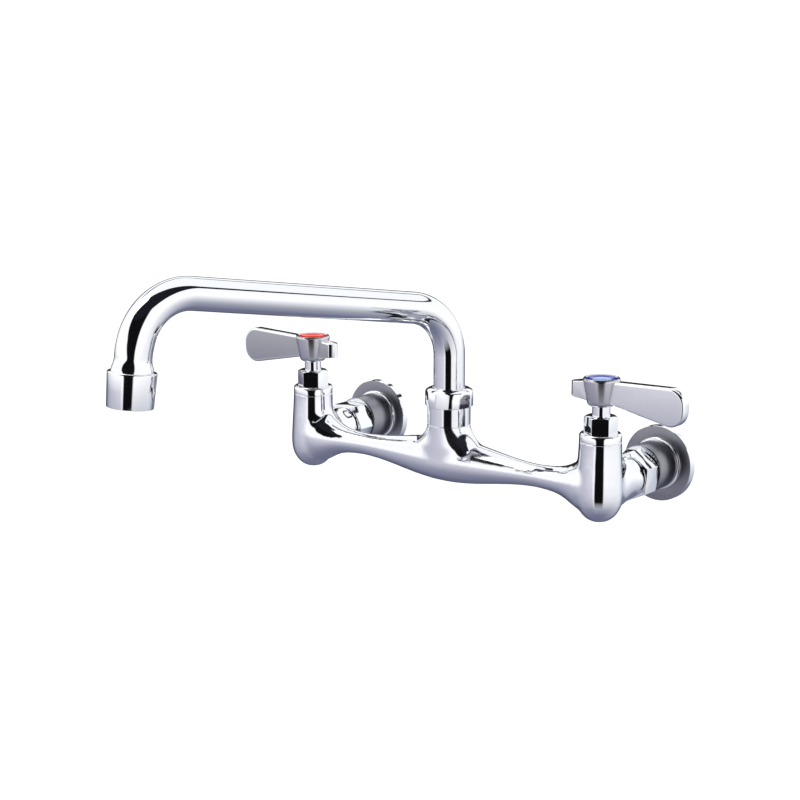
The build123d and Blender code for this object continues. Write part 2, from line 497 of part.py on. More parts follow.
for name, side in SIDES.items():
    valve_x = side * INLET_CENTRES / 2
    valve_axis = Axis((valve_x, VALVE_Y, 0), (0, 0, 1))

    with BuildPart() as seat_seal:
        ring(level(valve_x, VALVE_Y, SEAT_Z), SEAL_THICKNESS, SKIRT_RADIUS, SEAL_INNER_RADIUS)
    keep(seat_seal, f"{name}_seat_seal")

    with BuildPart() as fixed_disc:
        with BuildSketch(level(valve_x, VALVE_Y, SEAL_TOP_Z)):
            Circle(SKIRT_INNER_RADIUS - SNUG_CLEARANCE)
            Rectangle(LUG_WIDTH, 2 * (SKIRT_RADIUS - SNUG_CLEARANCE))
            ports()
        extrude(amount=FIXED_DISC_THICKNESS)
    keep(fixed_disc, f"{name}_fixed_disc")

    # shut: the moving disc's openings lie a quarter turn from those of the fixed one
    with BuildPart() as moving_disc:
        with BuildSketch(level(valve_x, VALVE_Y, MOVING_DISC_LOW_Z)) as shut:
            Circle(INNER_PIECE_RADIUS)
            ports()
        extrude(shut.sketch.rotate(valve_axis, 90), amount=MOVING_DISC_THICKNESS)
        with BuildSketch(level(valve_x, VALVE_Y, MOVING_DISC_TOP_Z)):
            Rectangle(DRIVE_SLOT_LENGTH, DRIVE_SLOT_WIDTH)
        extrude(amount=-DRIVE_SLOT_DEPTH, mode=Mode.SUBTRACT)
    keep(moving_disc, f"{name}_moving_disc")

    with BuildPart() as bonnet:
        ring(level(valve_x, VALVE_Y, SEAL_TOP_Z), BARREL_TOP_Z - SEAL_TOP_Z, SKIRT_RADIUS)
        ring(level(valve_x, VALVE_Y, BARREL_TOP_Z), BONNET_RING_HEIGHT, BARREL_TOP_RADIUS)
        fillet(bonnet.edges().group_by(Axis.Z)[-1], radius=BONNET_RING_EDGE)
        with BuildPart(mode=Mode.PRIVATE) as hex_head:
            hexagon(level(valve_x, VALVE_Y, BONNET_HEX_LOW_Z), BONNET_HEX_HEIGHT,
                    BONNET_HEX_FLATS, BONNET_HEX_TURN)
            crown(valve_x, VALVE_Y, BONNET_HEX_LOW_Z, BONNET_TOP_Z,
                  BONNET_HEX_FLATS / math.sqrt(3), BONNET_CROWN)
        add(hex_head.part)
        ring(level(valve_x, VALVE_Y, SEAL_TOP_Z), BONNET_TOP_Z - SEAL_TOP_Z,
             SPINDLE_HOLE_RADIUS, mode=Mode.SUBTRACT)
        ring(level(valve_x, VALVE_Y, SEAL_TOP_Z), BONNET_SHOULDER_Z - SEAL_TOP_Z,
             SKIRT_INNER_RADIUS, mode=Mode.SUBTRACT)
        # windows that let the water out to the arm, and notches for the fixed disc's lugs
        with BuildSketch(level(valve_x, VALVE_Y, FIXED_DISC_TOP_Z + FREE_CLEARANCE)):
            Rectangle(2 * CHAMBER_RADIUS, WINDOW_WIDTH)
        extrude(amount=SPINDLE_FLANGE_LOW_Z - FIXED_DISC_TOP_Z - FREE_CLEARANCE,
                mode=Mode.SUBTRACT)
        with BuildSketch(level(valve_x, VALVE_Y, SEAL_TOP_Z)):
            Rectangle(LUG_WIDTH + 2 * THREAD_CLEARANCE, 2 * CHAMBER_RADIUS)
        extrude(amount=FIXED_DISC_THICKNESS + SNUG_CLEARANCE, mode=Mode.SUBTRACT)
        # groove for the ring that seals it in the barrel
        ring(level(valve_x, VALVE_Y, BARREL_TOP_Z - BONNET_O_RING_DROP - BONNET_O_RING_THICKNESS),
             BONNET_O_RING_THICKNESS, CHAMBER_RADIUS,
             SKIRT_RADIUS - BONNET_O_RING_THICKNESS + SNUG_CLEARANCE, mode=Mode.SUBTRACT)
    keep(bonnet, f"{name}_bonnet")

    with BuildPart() as bonnet_o_ring:
        middle_z = BARREL_TOP_Z - BONNET_O_RING_DROP - BONNET_O_RING_THICKNESS / 2
        add(o_ring(level(valve_x, VALVE_Y, middle_z), BONNET_O_RING_THICKNESS - SNUG_CLEARANCE,
                   CARTRIDGE_BORE_RADIUS - SNUG_CLEARANCE))
    keep(bonnet_o_ring, f"{name}_bonnet_o_ring")

    with BuildPart() as thrust_washer:
        ring(level(valve_x, VALVE_Y, THRUST_WASHER_LOW_Z), THRUST_WASHER_THICKNESS,
             INNER_PIECE_RADIUS, SPINDLE_HOLE_RADIUS)
    keep(thrust_washer, f"{name}_thrust_washer")

    groove_levels = [STEM_GROOVE_Z - STEM_O_RING_SPACING / 2,
                     STEM_GROOVE_Z + STEM_O_RING_SPACING / 2]
    with BuildPart() as spindle:
        # drive block on two flats with a tang for the disc's slot
        with BuildSketch(level(valve_x, VALVE_Y, DRIVE_BLOCK_LOW_Z)):
            Circle(INNER_PIECE_RADIUS)
            Rectangle(2 * INNER_PIECE_RADIUS, DRIVE_BLOCK_WIDTH, mode=Mode.INTERSECT)
        extrude(amount=DRIVE_BLOCK_HEIGHT)
        tang_low = MOVING_DISC_TOP_Z - DRIVE_SLOT_DEPTH + 2 * FACE_CLEARANCE
        with BuildSketch(level(valve_x, VALVE_Y, tang_low)):
            Rectangle(DRIVE_SLOT_LENGTH - 2 * THREAD_CLEARANCE,
                      DRIVE_SLOT_WIDTH - 2 * THREAD_CLEARANCE)
        extrude(amount=DRIVE_BLOCK_LOW_Z - tang_low)
        ring(level(valve_x, VALVE_Y, SPINDLE_FLANGE_LOW_Z), SPINDLE_FLANGE_HEIGHT,
             INNER_PIECE_RADIUS)
        ring(level(valve_x, VALVE_Y, SPINDLE_FLANGE_TOP_Z), HUB_FOOT_Z - SPINDLE_FLANGE_TOP_Z,
             SPINDLE_RADIUS)
        with BuildSketch(level(valve_x, VALVE_Y, HUB_FOOT_Z)):
            RegularPolygon(BROACH_FLATS / 2, 8, major_radius=False)
        extrude(amount=BROACH_HEIGHT)
        for groove_z in groove_levels:
            ring(level(valve_x, VALVE_Y, groove_z - STEM_O_RING_THICKNESS / 2),
                 STEM_O_RING_THICKNESS, CARTRIDGE_BORE_RADIUS,
                 SPINDLE_RADIUS - STEM_O_RING_THICKNESS + SNUG_CLEARANCE, mode=Mode.SUBTRACT)
        ring(level(valve_x, VALVE_Y, SPINDLE_TOP_Z - SCREW_LENGTH), SCREW_LENGTH,
             SCREW_RADIUS + SNUG_CLEARANCE, mode=Mode.SUBTRACT)
    keep(spindle, f"{name}_spindle")

    with BuildPart() as stem_o_rings:
        for groove_z in groove_levels:
            add(o_ring(level(valve_x, VALVE_Y, groove_z),
                       STEM_O_RING_THICKNESS - SNUG_CLEARANCE, SPINDLE_RADIUS))
    keep(stem_o_rings, f"{name}_stem_o_rings")


# ---------------------------------------------------------------- wing levers

for name, side in SIDES.items():
    valve_x = side * INLET_CENTRES / 2
    # a front view plane whose local x points out along the blade
    blade_plane = Plane(origin=(valve_x, VALVE_Y, HUB_FOOT_Z), x_dir=(side, 0, 0),
                        z_dir=(0, -side, 0))

    with BuildPart() as lever:
        with BuildSketch(blade_plane) as blade_outline:
            with BuildLine():
                Polyline((0, BLADE_ROOT_LOW), (LEVER_REACH, LEVER_END_LOW),
                         (LEVER_REACH, LEVER_END_HIGH), (0, LEVER_ROOT_HIGH), close=True)
            make_face()
            fillet(blade_outline.vertices().group_by(Axis.X)[-1], radius=LEVER_CORNER)
        extrude(amount=LEVER_THICKNESS / 2, both=True)
        long_edges = [edge for edge in lever.edges() if edge.bounding_box().size.Y < 0.1
                      and side * (edge.center().X - valve_x) > HUB_LOWER_RADIUS]
        fillet(long_edges, radius=LEVER_EDGE)
        with BuildSketch(blade_plane):
            with BuildLine():
                Polyline((0, STUB_ROOT_LOW), (-STUB_REACH, STUB_LOW), (-STUB_REACH, STUB_HIGH),
                         (0, LEVER_ROOT_HIGH), close=True)
            make_face()
        extrude(amount=STUB_THICKNESS / 2, both=True)
        stub_end = lever.edges().filter_by(Axis.Z).filter_by(
            lambda edge: side * (valve_x - edge.center().X) > STUB_REACH - SNUG_CLEARANCE)
        chamfer(stub_end, length=STUB_END_CHAMFER)
        with BuildSketch(upright(valve_x, VALVE_Y)):
            with BuildLine():
                Line((0, HUB_FOOT_Z), (HUB_FOOT_RADIUS, HUB_FOOT_Z))
                Spline((HUB_FOOT_RADIUS, HUB_FOOT_Z),
                       (HUB_LOWER_RADIUS, HUB_FOOT_Z + HUB_FOOT_ROUND),
                       tangents=[(1, 0.2), (0.15, 1)])
                Line((HUB_LOWER_RADIUS, HUB_FOOT_Z + HUB_FOOT_ROUND),
                     (HUB_TOP_RADIUS, HUB_TOP_Z - BUTTON_THICKNESS))
                Line((HUB_TOP_RADIUS, HUB_TOP_Z - BUTTON_THICKNESS),
                     (HUB_TOP_RADIUS - BUTTON_RIM, HUB_TOP_Z))
                Line((HUB_TOP_RADIUS - BUTTON_RIM, HUB_TOP_Z), (0, HUB_TOP_Z))
                Line((0, HUB_TOP_Z), (0, HUB_FOOT_Z))
            make_face()
        revolve(axis=Axis((valve_x, VALVE_Y, 0), (0, 0, 1)))
        ring(level(valve_x, VALVE_Y, BUTTON_SEAT_Z), BUTTON_THICKNESS,
             BUTTON_RADIUS + SNUG_CLEARANCE, mode=Mode.SUBTRACT)
        ring(level(valve_x, VALVE_Y, SCREW_SEAT_Z), HUB_TOP_Z - SCREW_SEAT_Z,
             COUNTERBORE_RADIUS, mode=Mode.SUBTRACT)
        ring(level(valve_x, VALVE_Y, HUB_FOOT_Z), SCREW_SEAT_Z - HUB_FOOT_Z,
             SCREW_RADIUS + FREE_CLEARANCE, mode=Mode.SUBTRACT)
        with BuildSketch(level(valve_x, VALVE_Y, HUB_FOOT_Z)):
            RegularPolygon(BROACH_FLATS / 2 + SNUG_CLEARANCE, 8, major_radius=False)
        extrude(amount=SOCKET_TOP_Z - HUB_FOOT_Z, mode=Mode.SUBTRACT)
    keep(lever, f"{name}_lever")

    with BuildPart() as handle_screw:
        ring(level(valve_x, VALVE_Y, SCREW_SEAT_Z), SCREW_HEAD_HEIGHT, SCREW_HEAD_RADIUS)
        ring(level(valve_x, VALVE_Y, SCREW_SEAT_Z - SCREW_LENGTH), SCREW_LENGTH, SCREW_RADIUS)
        with BuildSketch(level(valve_x, VALVE_Y, SCREW_SEAT_Z + SCREW_HEAD_HEIGHT)):
            Rectangle(SCREW_SLOT_LENGTH, SCREW_SLOT_WIDTH)
            Rectangle(SCREW_SLOT_WIDTH, SCREW_SLOT_LENGTH)
        extrude(amount=-SCREW_HEAD_HEIGHT / 2, mode=Mode.SUBTRACT)
    keep(handle_screw, f"{name}_handle_screw")

    with BuildPart() as index_button:
        plug_radius = COUNTERBORE_RADIUS - SNUG_CLEARANCE
        plug_foot = BUTTON_SEAT_Z - BUTTON_PLUG_LENGTH
        button_top = BUTTON_SEAT_Z + BUTTON_THICKNESS
        turned(valve_x, VALVE_Y, [
            (plug_radius - BUTTON_PLUG_WALL, plug_foot), (plug_radius, plug_foot),
            (plug_radius, BUTTON_SEAT_Z), (BUTTON_RADIUS, BUTTON_SEAT_Z),
            (BUTTON_RADIUS, button_top), (BUTTON_RADIUS - BUTTON_RIM, button_top),
            (BUTTON_RADIUS - 2 * BUTTON_RIM, button_top - BUTTON_DISH), (0, button_top - BUTTON_DISH),
            (0, BUTTON_SEAT_Z), (plug_radius - BUTTON_PLUG_WALL, BUTTON_SEAT_Z)])
    keep(index_button, f"{name}_index_button")


# ---------------------------------------------------------------- swivel

with BuildPart() as spout_nut:
    # the hexagon stands a hair proud of the round skirt, and its sharp corners are taken off
    corner_radius = 2 * SPOUT_NUT_RADIUS / math.sqrt(3)
    hexagon(level(0, VALVE_Y, SPOUT_NUT_HEX_LOW_Z), SPOUT_NUT_TOP_Z - SPOUT_NUT_HEX_LOW_Z,
            2 * (SPOUT_NUT_RADIUS + SNUG_CLEARANCE), SPOUT_NUT_TURN)
    turned(0, VALVE_Y, [
        (0, SPOUT_NUT_HEX_LOW_Z), (SPOUT_NUT_RADIUS, SPOUT_NUT_HEX_LOW_Z),
        (corner_radius, SPOUT_NUT_HEX_LOW_Z + SPOUT_NUT_CROWN / 2),
        (corner_radius, SPOUT_NUT_TOP_Z - SPOUT_NUT_CROWN - SPOUT_NUT_CROWN / 2),
        (SPOUT_NUT_RADIUS, SPOUT_NUT_TOP_Z - SPOUT_NUT_CROWN / 2),
        (SPOUT_NUT_BORE_RADIUS, SPOUT_NUT_TOP_Z), (0, SPOUT_NUT_TOP_Z)], mode=Mode.INTERSECT)
    ring(level(0, VALVE_Y, SPOUT_NUT_FOOT_Z), SPOUT_NUT_ROUND_HEIGHT, SPOUT_NUT_RADIUS)
    ring(level(0, VALVE_Y, SPOUT_NUT_FOOT_Z), SPOUT_NUT_LIP_Z - SPOUT_NUT_FOOT_Z,
         SPOUT_NUT_BORE_RADIUS, mode=Mode.SUBTRACT)
    ring(level(0, VALVE_Y, SPOUT_NUT_FOOT_Z), SPOUT_NUT_TOP_Z - SPOUT_NUT_FOOT_Z,
         TUBE_RADIUS + FREE_CLEARANCE, mode=Mode.SUBTRACT)
keep(spout_nut, "spout_nut")

with BuildPart() as swivel_washer:
    ring(level(0, VALVE_Y, SPOUT_NECK_TOP_Z), SWIVEL_WASHER_THICKNESS,
         SPOUT_NECK_RADIUS, SPOUT_BORE_RADIUS)
keep(swivel_washer, "swivel_washer")

# split ring under the nut's lip, which holds the shank down
with BuildPart() as retaining_ring:
    ring_height = SPOUT_NUT_LIP_Z - RETAINING_RING_LOW_Z - FACE_CLEARANCE
    ring(level(0, VALVE_Y, RETAINING_RING_LOW_Z), ring_height,
         SPOUT_NECK_RADIUS, TUBE_RADIUS + RUNNING_CLEARANCE)
    gap_width = 2 * SPOUT_NECK_RADIUS * math.sin(math.radians(RETAINING_RING_GAP_ANGLE / 2))
    with BuildSketch(level(0, VALVE_Y, RETAINING_RING_LOW_Z)):
        with Locations((0, SPOUT_NECK_RADIUS)):
            Rectangle(gap_width, SPOUT_NECK_RADIUS)
    extrude(amount=ring_height, mode=Mode.SUBTRACT)
keep(retaining_ring, "retaining_ring")

o_ring_levels = [SPOUT_NECK_TOP_Z - SPOUT_O_RING_SPACING * turn for turn in (1, 2)]
with BuildPart() as spout_shank:
    ring(level(0, VALVE_Y, SHANK_FLANGE_LOW_Z), SHANK_FLANGE_HEIGHT, SHANK_FLANGE_RADIUS)
    ring(level(0, VALVE_Y, SHANK_FLANGE_LOW_Z - SHANK_SPIGOT_LENGTH), SHANK_SPIGOT_LENGTH,
         SHANK_SPIGOT_RADIUS)
    ring(level(0, VALVE_Y, SHANK_FLANGE_TOP_Z), SHANK_SOCKET_HEIGHT,
         TUBE_INNER_RADIUS - SNUG_CLEARANCE)
    for groove_z in o_ring_levels:
        ring(level(0, VALVE_Y, groove_z - SPOUT_O_RING_THICKNESS / 2), SPOUT_O_RING_THICKNESS,
             SPOUT_NECK_RADIUS, SHANK_SPIGOT_RADIUS - SPOUT_O_RING_THICKNESS + SNUG_CLEARANCE,
             mode=Mode.SUBTRACT)
    ring(level(0, VALVE_Y, SHANK_FLANGE_LOW_Z - SHANK_SPIGOT_LENGTH),
         SHANK_SPIGOT_LENGTH + SHANK_FLANGE_HEIGHT + SHANK_SOCKET_HEIGHT, SHANK_BORE_RADIUS,
         mode=Mode.SUBTRACT)
keep(spout_shank, "spout_shank")

with BuildPart() as spout_o_rings:
    for groove_z in o_ring_levels:
        add(o_ring(level(0, VALVE_Y, groove_z), SPOUT_O_RING_THICKNESS - SNUG_CLEARANCE,
                   SHANK_SPIGOT_RADIUS))
keep(spout_o_rings, "spout_o_rings")


# ---------------------------------------------------------------- spout

swing = math.radians(SPOUT_SWING)
tilt = math.radians(SPOUT_TILT)
drop_lean = math.radians(DROP_LEAN)
outlet_lean = math.radians(OUTLET_LEAN)
outward = Vector(-math.sin(swing), -math.cos(swing), 0)

# the plane of the spout: local x points out from the swivel, local y is up
spout_plane = Plane(origin=(0, VALVE_Y, 0), x_dir=outward, z_dir=outward.cross(Vector(0, 0, 1)))

# the long run fills what the bends and the drop leave of the reach
outlet_depth = SWAGE_LENGTH + COLLAR_LENGTH
run_reach = (SPOUT_REACH - FIRST_BEND_RADIUS * (1 - math.sin(tilt))
             - SECOND_BEND_RADIUS * (math.sin(tilt) + math.cos(drop_lean))
             - DROP_LENGTH * math.sin(drop_lean)
             - THIRD_BEND_RADIUS * (math.cos(outlet_lean) - math.cos(drop_lean))
             - outlet_depth * math.sin(outlet_lean))
run_length = run_reach / math.cos(tilt)

with BuildPart() as spout_tube:
    with BuildLine(spout_plane) as route:
        riser = Line((0, SHANK_FLANGE_TOP_Z), (0, SHANK_FLANGE_TOP_Z + RISER_HEIGHT))
        first_bend = JernArc(riser @ 1, riser % 1, FIRST_BEND_RADIUS, -(90 - SPOUT_TILT))
        run = Line(first_bend @ 1, first_bend @ 1 + (first_bend % 1) * run_length)
        second_bend = JernArc(run @ 1, run % 1, SECOND_BEND_RADIUS,
                              -(90 + SPOUT_TILT - DROP_LEAN))
        drop = Line(second_bend @ 1, second_bend @ 1 + (second_bend % 1) * DROP_LENGTH)
        third_bend = JernArc(drop @ 1, drop % 1, THIRD_BEND_RADIUS, -(DROP_LEAN - OUTLET_LEAN))
    with BuildSketch(level(0, VALVE_Y, SHANK_FLANGE_TOP_Z)):
        Circle(TUBE_RADIUS)
        Circle(TUBE_INNER_RADIUS, mode=Mode.SUBTRACT)
    sweep(path=route.line)

swage_top = third_bend @ 1
outlet_direction = third_bend % 1
outlet_section = Plane(origin=swage_top, x_dir=outlet_direction.cross(spout_plane.z_dir),
                       z_dir=spout_plane.z_dir)
outlet_axis = Axis(swage_top, outlet_direction)


def outlet_turned(outline, mode=Mode.ADD):
    """A piece turned on the outlet's axis from (radius, depth below the top of the swage)."""
    down = 1 if outlet_section.y_dir.dot(outlet_direction) > 0 else -1
    with BuildSketch(outlet_section) as half:
        with BuildLine():
            Polyline(*[(radius, down * depth) for radius, depth in outline], close=True)
        make_face()
    revolve(half.sketch, axis=outlet_axis, mode=mode)


COLLAR_TOP = SWAGE_LENGTH
COLLAR_FOOT = COLLAR_TOP + COLLAR_LENGTH
TUBE_END = COLLAR_TOP + OUTLET_THREAD_LENGTH
WASHER_END = TUBE_END + AERATOR_WASHER_THICKNESS
RIM_END = WASHER_END + AERATOR_RIM_THICKNESS
LIP_TOP = COLLAR_FOOT - COLLAR_LIP
SWAGE_INNER_RADIUS = SWAGE_RADIUS - TUBE_WALL

with spout_tube:
    half_swage = (SWAGE_RADIUS - TUBE_RADIUS) * SWAGE_FLARE_SHARE
    outlet_turned([
        (TUBE_INNER_RADIUS, 0), (TUBE_RADIUS, 0),
        (TUBE_RADIUS + half_swage, SWAGE_LENGTH / 2),
        (SWAGE_RADIUS, SWAGE_LENGTH - TUBE_WALL / 2), (SWAGE_RADIUS, TUBE_END),
        (SWAGE_INNER_RADIUS, TUBE_END), (SWAGE_INNER_RADIUS, SWAGE_LENGTH),
        (TUBE_INNER_RADIUS + half_swage, SWAGE_LENGTH / 2)])
keep(spout_tube, "spout_tube")

with BuildPart() as outlet_collar:
    outlet_turned([
        (SWAGE_RADIUS + SNUG_CLEARANCE, COLLAR_TOP), (COLLAR_TOP_RADIUS, COLLAR_TOP),
        (COLLAR_FOOT_RADIUS, COLLAR_FOOT),
        (COLLAR_MOUTH_RADIUS, COLLAR_FOOT), (COLLAR_MOUTH_RADIUS, LIP_TOP),
        (AERATOR_RADIUS + THREAD_CLEARANCE, LIP_TOP), (AERATOR_RADIUS + THREAD_CLEARANCE, RIM_END),
        (SWAGE_RADIUS + SNUG_CLEARANCE, RIM_END)])
    round_edges = outlet_collar.edges().filter_by(GeomType.CIRCLE)
    fillet(round_edges.sort_by(lambda edge: edge.radius)[-1], radius=COLLAR_EDGE)
keep(outlet_collar, "outlet_collar")

with BuildPart() as aerator_washer:
    outlet_turned([(AERATOR_RADIUS - TUBE_WALL, TUBE_END), (SWAGE_RADIUS, TUBE_END),
                   (SWAGE_RADIUS, WASHER_END), (AERATOR_RADIUS - TUBE_WALL, WASHER_END)])
keep(aerator_washer, "aerator_washer")

with BuildPart() as aerator_insert:
    cup_radius = AERATOR_RADIUS - TUBE_WALL
    floor_top = LIP_TOP - AERATOR_FLOOR
    outlet_turned([(cup_radius, WASHER_END), (SWAGE_RADIUS, WASHER_END), (SWAGE_RADIUS, RIM_END),
                   (AERATOR_RADIUS, RIM_END), (AERATOR_RADIUS, LIP_TOP), (0, LIP_TOP),
                   (0, floor_top), (cup_radius, floor_top)])
    with BuildSketch(Plane(origin=swage_top + outlet_direction * floor_top,
                           x_dir=outlet_section.x_dir, z_dir=outlet_direction)):
        Circle(AERATOR_HOLE_RADIUS)
        for row in (1, 2):
            with PolarLocations(row * AERATOR_ROW_SPACING, row * AERATOR_ROW_HOLES):
                Circle(AERATOR_HOLE_RADIUS)
    extrude(amount=AERATOR_FLOOR, mode=Mode.SUBTRACT)
keep(aerator_insert, "aerator_insert")
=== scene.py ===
# %% [markdown]
# # A chrome wall faucet, one piece at a time
# The construction comes ready made: every solid, its place and its joints are in the packed
# frame. This lesson gives that construction its looks. Chrome has almost no colour of its own,
# so three things decide whether it convinces: clean curved meshes, a small rounding on every
# edge, and a studio that is worth reflecting.

# %% Load the frame
import json
import math

import bmesh
import bpy
import numpy as np
from mathutils import Matrix, Vector


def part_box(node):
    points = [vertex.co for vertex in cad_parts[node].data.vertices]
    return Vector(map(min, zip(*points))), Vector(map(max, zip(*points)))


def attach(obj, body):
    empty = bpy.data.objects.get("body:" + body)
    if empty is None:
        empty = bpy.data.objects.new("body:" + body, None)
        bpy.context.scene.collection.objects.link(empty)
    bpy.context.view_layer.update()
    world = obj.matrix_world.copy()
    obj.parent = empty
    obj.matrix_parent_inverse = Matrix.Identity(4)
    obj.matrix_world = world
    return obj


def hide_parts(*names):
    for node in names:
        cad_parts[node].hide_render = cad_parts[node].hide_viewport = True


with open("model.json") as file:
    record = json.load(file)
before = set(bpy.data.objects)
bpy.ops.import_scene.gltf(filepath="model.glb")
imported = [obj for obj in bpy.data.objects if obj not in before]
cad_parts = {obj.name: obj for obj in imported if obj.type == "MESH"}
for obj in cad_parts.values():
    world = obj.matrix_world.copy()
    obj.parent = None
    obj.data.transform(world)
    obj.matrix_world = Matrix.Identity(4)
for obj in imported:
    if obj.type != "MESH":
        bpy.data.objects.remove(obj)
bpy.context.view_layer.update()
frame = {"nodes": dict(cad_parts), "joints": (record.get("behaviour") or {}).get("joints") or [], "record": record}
scene = bpy.context.scene

# %% [markdown]
# ## Places and sizes
# The joints of the frame give the axes of the two valves and of the spout, and the boxes of
# the nodes give levels and lengths. Sizes that no box tells are written where they are used,
# in millimetres, the way a maker would say them, and MM turns them into Blender's metres.
# Typing the places in again would also work, but would go wrong when the construction changes.

# %% Axes and levels
MM = 0.001
axis_of = {joint["name"]: Vector(joint["pos_m"]) for joint in frame["joints"]}
SPOUT_AXIS = Vector((axis_of["spout_swivel"].x, axis_of["spout_swivel"].y, 0))
VALVE_AXIS = {side: Vector((axis_of[f"{side}_handle_turn"].x, SPOUT_AXIS.y, 0))
              for side in ("hot", "cold")}
OUTWARD = {"hot": -1, "cold": 1}
UP, TO_WALL, ACROSS = (0, 0, 1), (0, 1, 0), (1, 0, 0)


def low(node):
    """The lowest corner of a node."""
    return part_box(node)[0]


def high(node):
    """The highest corner of a node."""
    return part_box(node)[1]


BODY_AXIS_Z = (low("hot_coupling_nut").z + high("hot_coupling_nut").z) / 2
TO_BODY_AXIS = Vector((0, 0, BODY_AXIS_Z))
BARREL_TOP_Z = 24.0 * MM
BONNET_TOP_Z = high("hot_bonnet").z
HUB_FOOT_Z = BONNET_TOP_Z + 5.5 * MM
BUTTON_TOP_Z = high("hot_index_button").z
NUT_FRONT_Y = low("hot_coupling_nut").y
NUT_BACK_Y = high("hot_coupling_nut").y
UNION_FACE_Y = low("hot_inlet_flange").y
print("body axis", round(BODY_AXIS_Z, 5), "barrel top", round(BARREL_TOP_Z, 5),
      "bonnet top", round(BONNET_TOP_Z, 5), "nut", round(NUT_FRONT_Y, 5), round(NUT_BACK_Y, 5))

# %% [markdown]
# ## The camera
# The photograph was taken from 38 degrees to the right and 12 degrees above the middle of the
# faucet, from a little over a metre away. Blender's cameras and lamps look along their own -Z,
# so a direction becomes a rotation with to_track_quat. A Track To constraint would do it too,
# but it needs a second object to look at.

# %% Camera
CAMERA_SPOT = (0.6535, -0.9387, 0.2693)
VIEW_DIRECTION = Vector((-0.605, 0.7677, -0.2117))


def placed(name, data):
    """A new object in the scene."""
    thing = bpy.data.objects.new(name, data)
    scene.collection.objects.link(thing)
    return thing


def aim(thing, heading):
    """Make a camera or a lamp look along a heading."""
    thing.rotation_euler = heading.to_track_quat("-Z", "Y").to_euler()


camera = placed("product_camera", bpy.data.cameras.new("product_camera"))
camera.data.lens = 88.6
camera.location = CAMERA_SPOT
aim(camera, VIEW_DIRECTION)
scene.camera = camera
print("camera at", [round(value, 4) for value in camera.location], "lens", camera.data.lens)

# %% [markdown]
# ## The studio
# A polished faucet shows the room, not itself. Product photographers stand white walls round
# it and leave one dark gap near the camera: its reflection is the black stripe that makes
# every upright look round. Here the walls are painted on the world, by direction, and only
# the mirrored rays see them. The camera and the matt floor get plain white instead. Real
# panels would do as well, but they would stand in the way of the other views.
#
# Shader nodes are fed by other nodes, so four helpers come first: one makes a node, one does
# a sum, one turns a number into shades and one mixes two colours.


# %% Node helpers
def add_node(tree, kind, **settings):
    """A new node; set_ settings are its own, and the others are values of its inputs."""
    node = tree.nodes.new(kind)
    for name, value in settings.items():
        if name.startswith("set_"):
            setattr(node, name[4:], value)
        else:
            node.inputs[name.replace("_", " ")].default_value = value
    return node


def calculate(tree, operation, *values):
    """A Math node fed with numbers or sockets; returns its output socket."""
    node = add_node(tree, "ShaderNodeMath", set_operation=operation)
    for place, value in enumerate(values):
        if isinstance(value, (int, float)):
            node.inputs[place].default_value = value
        else:
            tree.links.new(value, node.inputs[place])
    return node.outputs[0]


def ramp(tree, factor, stops):
    """A Color Ramp over (position, grey or colour) stops; returns its colour socket."""
    node = tree.nodes.new("ShaderNodeValToRGB")
    points = node.color_ramp.elements
    while len(points) > 1:
        points.remove(points[-1])
    for place, (position, colour) in enumerate(stops):
        point = points[0] if place == 0 else points.new(position)
        point.position = position
        point.color = (*colour, 1) if isinstance(colour, tuple) else (colour,) * 3 + (1,)
    tree.links.new(factor, node.inputs["Fac"])
    return node.outputs["Color"]


def mixed(tree, factor, first, second):
    """A colour Mix node between two sockets or colours; returns its output socket."""
    node = add_node(tree, "ShaderNodeMix", set_data_type="RGBA")
    tree.links.new(factor, node.inputs["Factor"])
    for letter, value in (("A", first), ("B", second)):
        if isinstance(value, tuple):
            node.inputs[letter].default_value = (*value, 1)
        else:
            tree.links.new(value, node.inputs[letter])
    return node.outputs["Result"]


print("node helpers:", [helper.__name__ for helper in (add_node, calculate, ramp, mixed)])

# %% [markdown]
# ### Which way a ray goes
# On a world, the Generated coordinate is the ray's direction. Turned back by the camera's
# azimuth, its X points to the camera, its Y to the right of the picture and its Z up. The
# angle round the upright axis, squeezed between 0 and 1, is what a Color Ramp can read.

# %% Directions in the studio
CAMERA_AZIMUTH = math.atan2(camera.location.y - SPOUT_AXIS.y, camera.location.x)
world = bpy.data.worlds.new("white_studio")
scene.world = world
world.use_nodes = True
tree = world.node_tree
tree.nodes.clear()
turned_back = add_node(tree, "ShaderNodeVectorRotate", set_rotation_type="Z_AXIS",
                       Angle=-CAMERA_AZIMUTH)
tree.links.new(tree.nodes.new("ShaderNodeTexCoord").outputs["Generated"],
               turned_back.inputs["Vector"])
parts = tree.nodes.new("ShaderNodeSeparateXYZ")
tree.links.new(turned_back.outputs["Vector"], parts.inputs[0])
to_camera, to_right, height = (parts.outputs[letter] for letter in "XYZ")
around = calculate(tree, "ARCTAN2", to_right, to_camera)
around = calculate(tree, "ADD", calculate(tree, "DIVIDE", around, 2 * math.pi), 0.5)
print("camera's azimuth", round(math.degrees(CAMERA_AZIMUTH), 1), "degrees")

# %% [markdown]
# ### Walls and ground
# The wall is white on the right and greyer round to the left, which puts the soft grey sides
# on the uprights. Behind the faucet it is left open and dark, and that gives the bright edges
# their outline. Above the horizon the wall is white nearly all the way round. Each part of
# the room is a ramp over a direction, and a second ramp says where that part begins.


# %% Walls and ground
def bearing(degrees):
    """A place on the ramp for an angle to the right of the camera's direction."""
    return 0.5 + degrees / 360


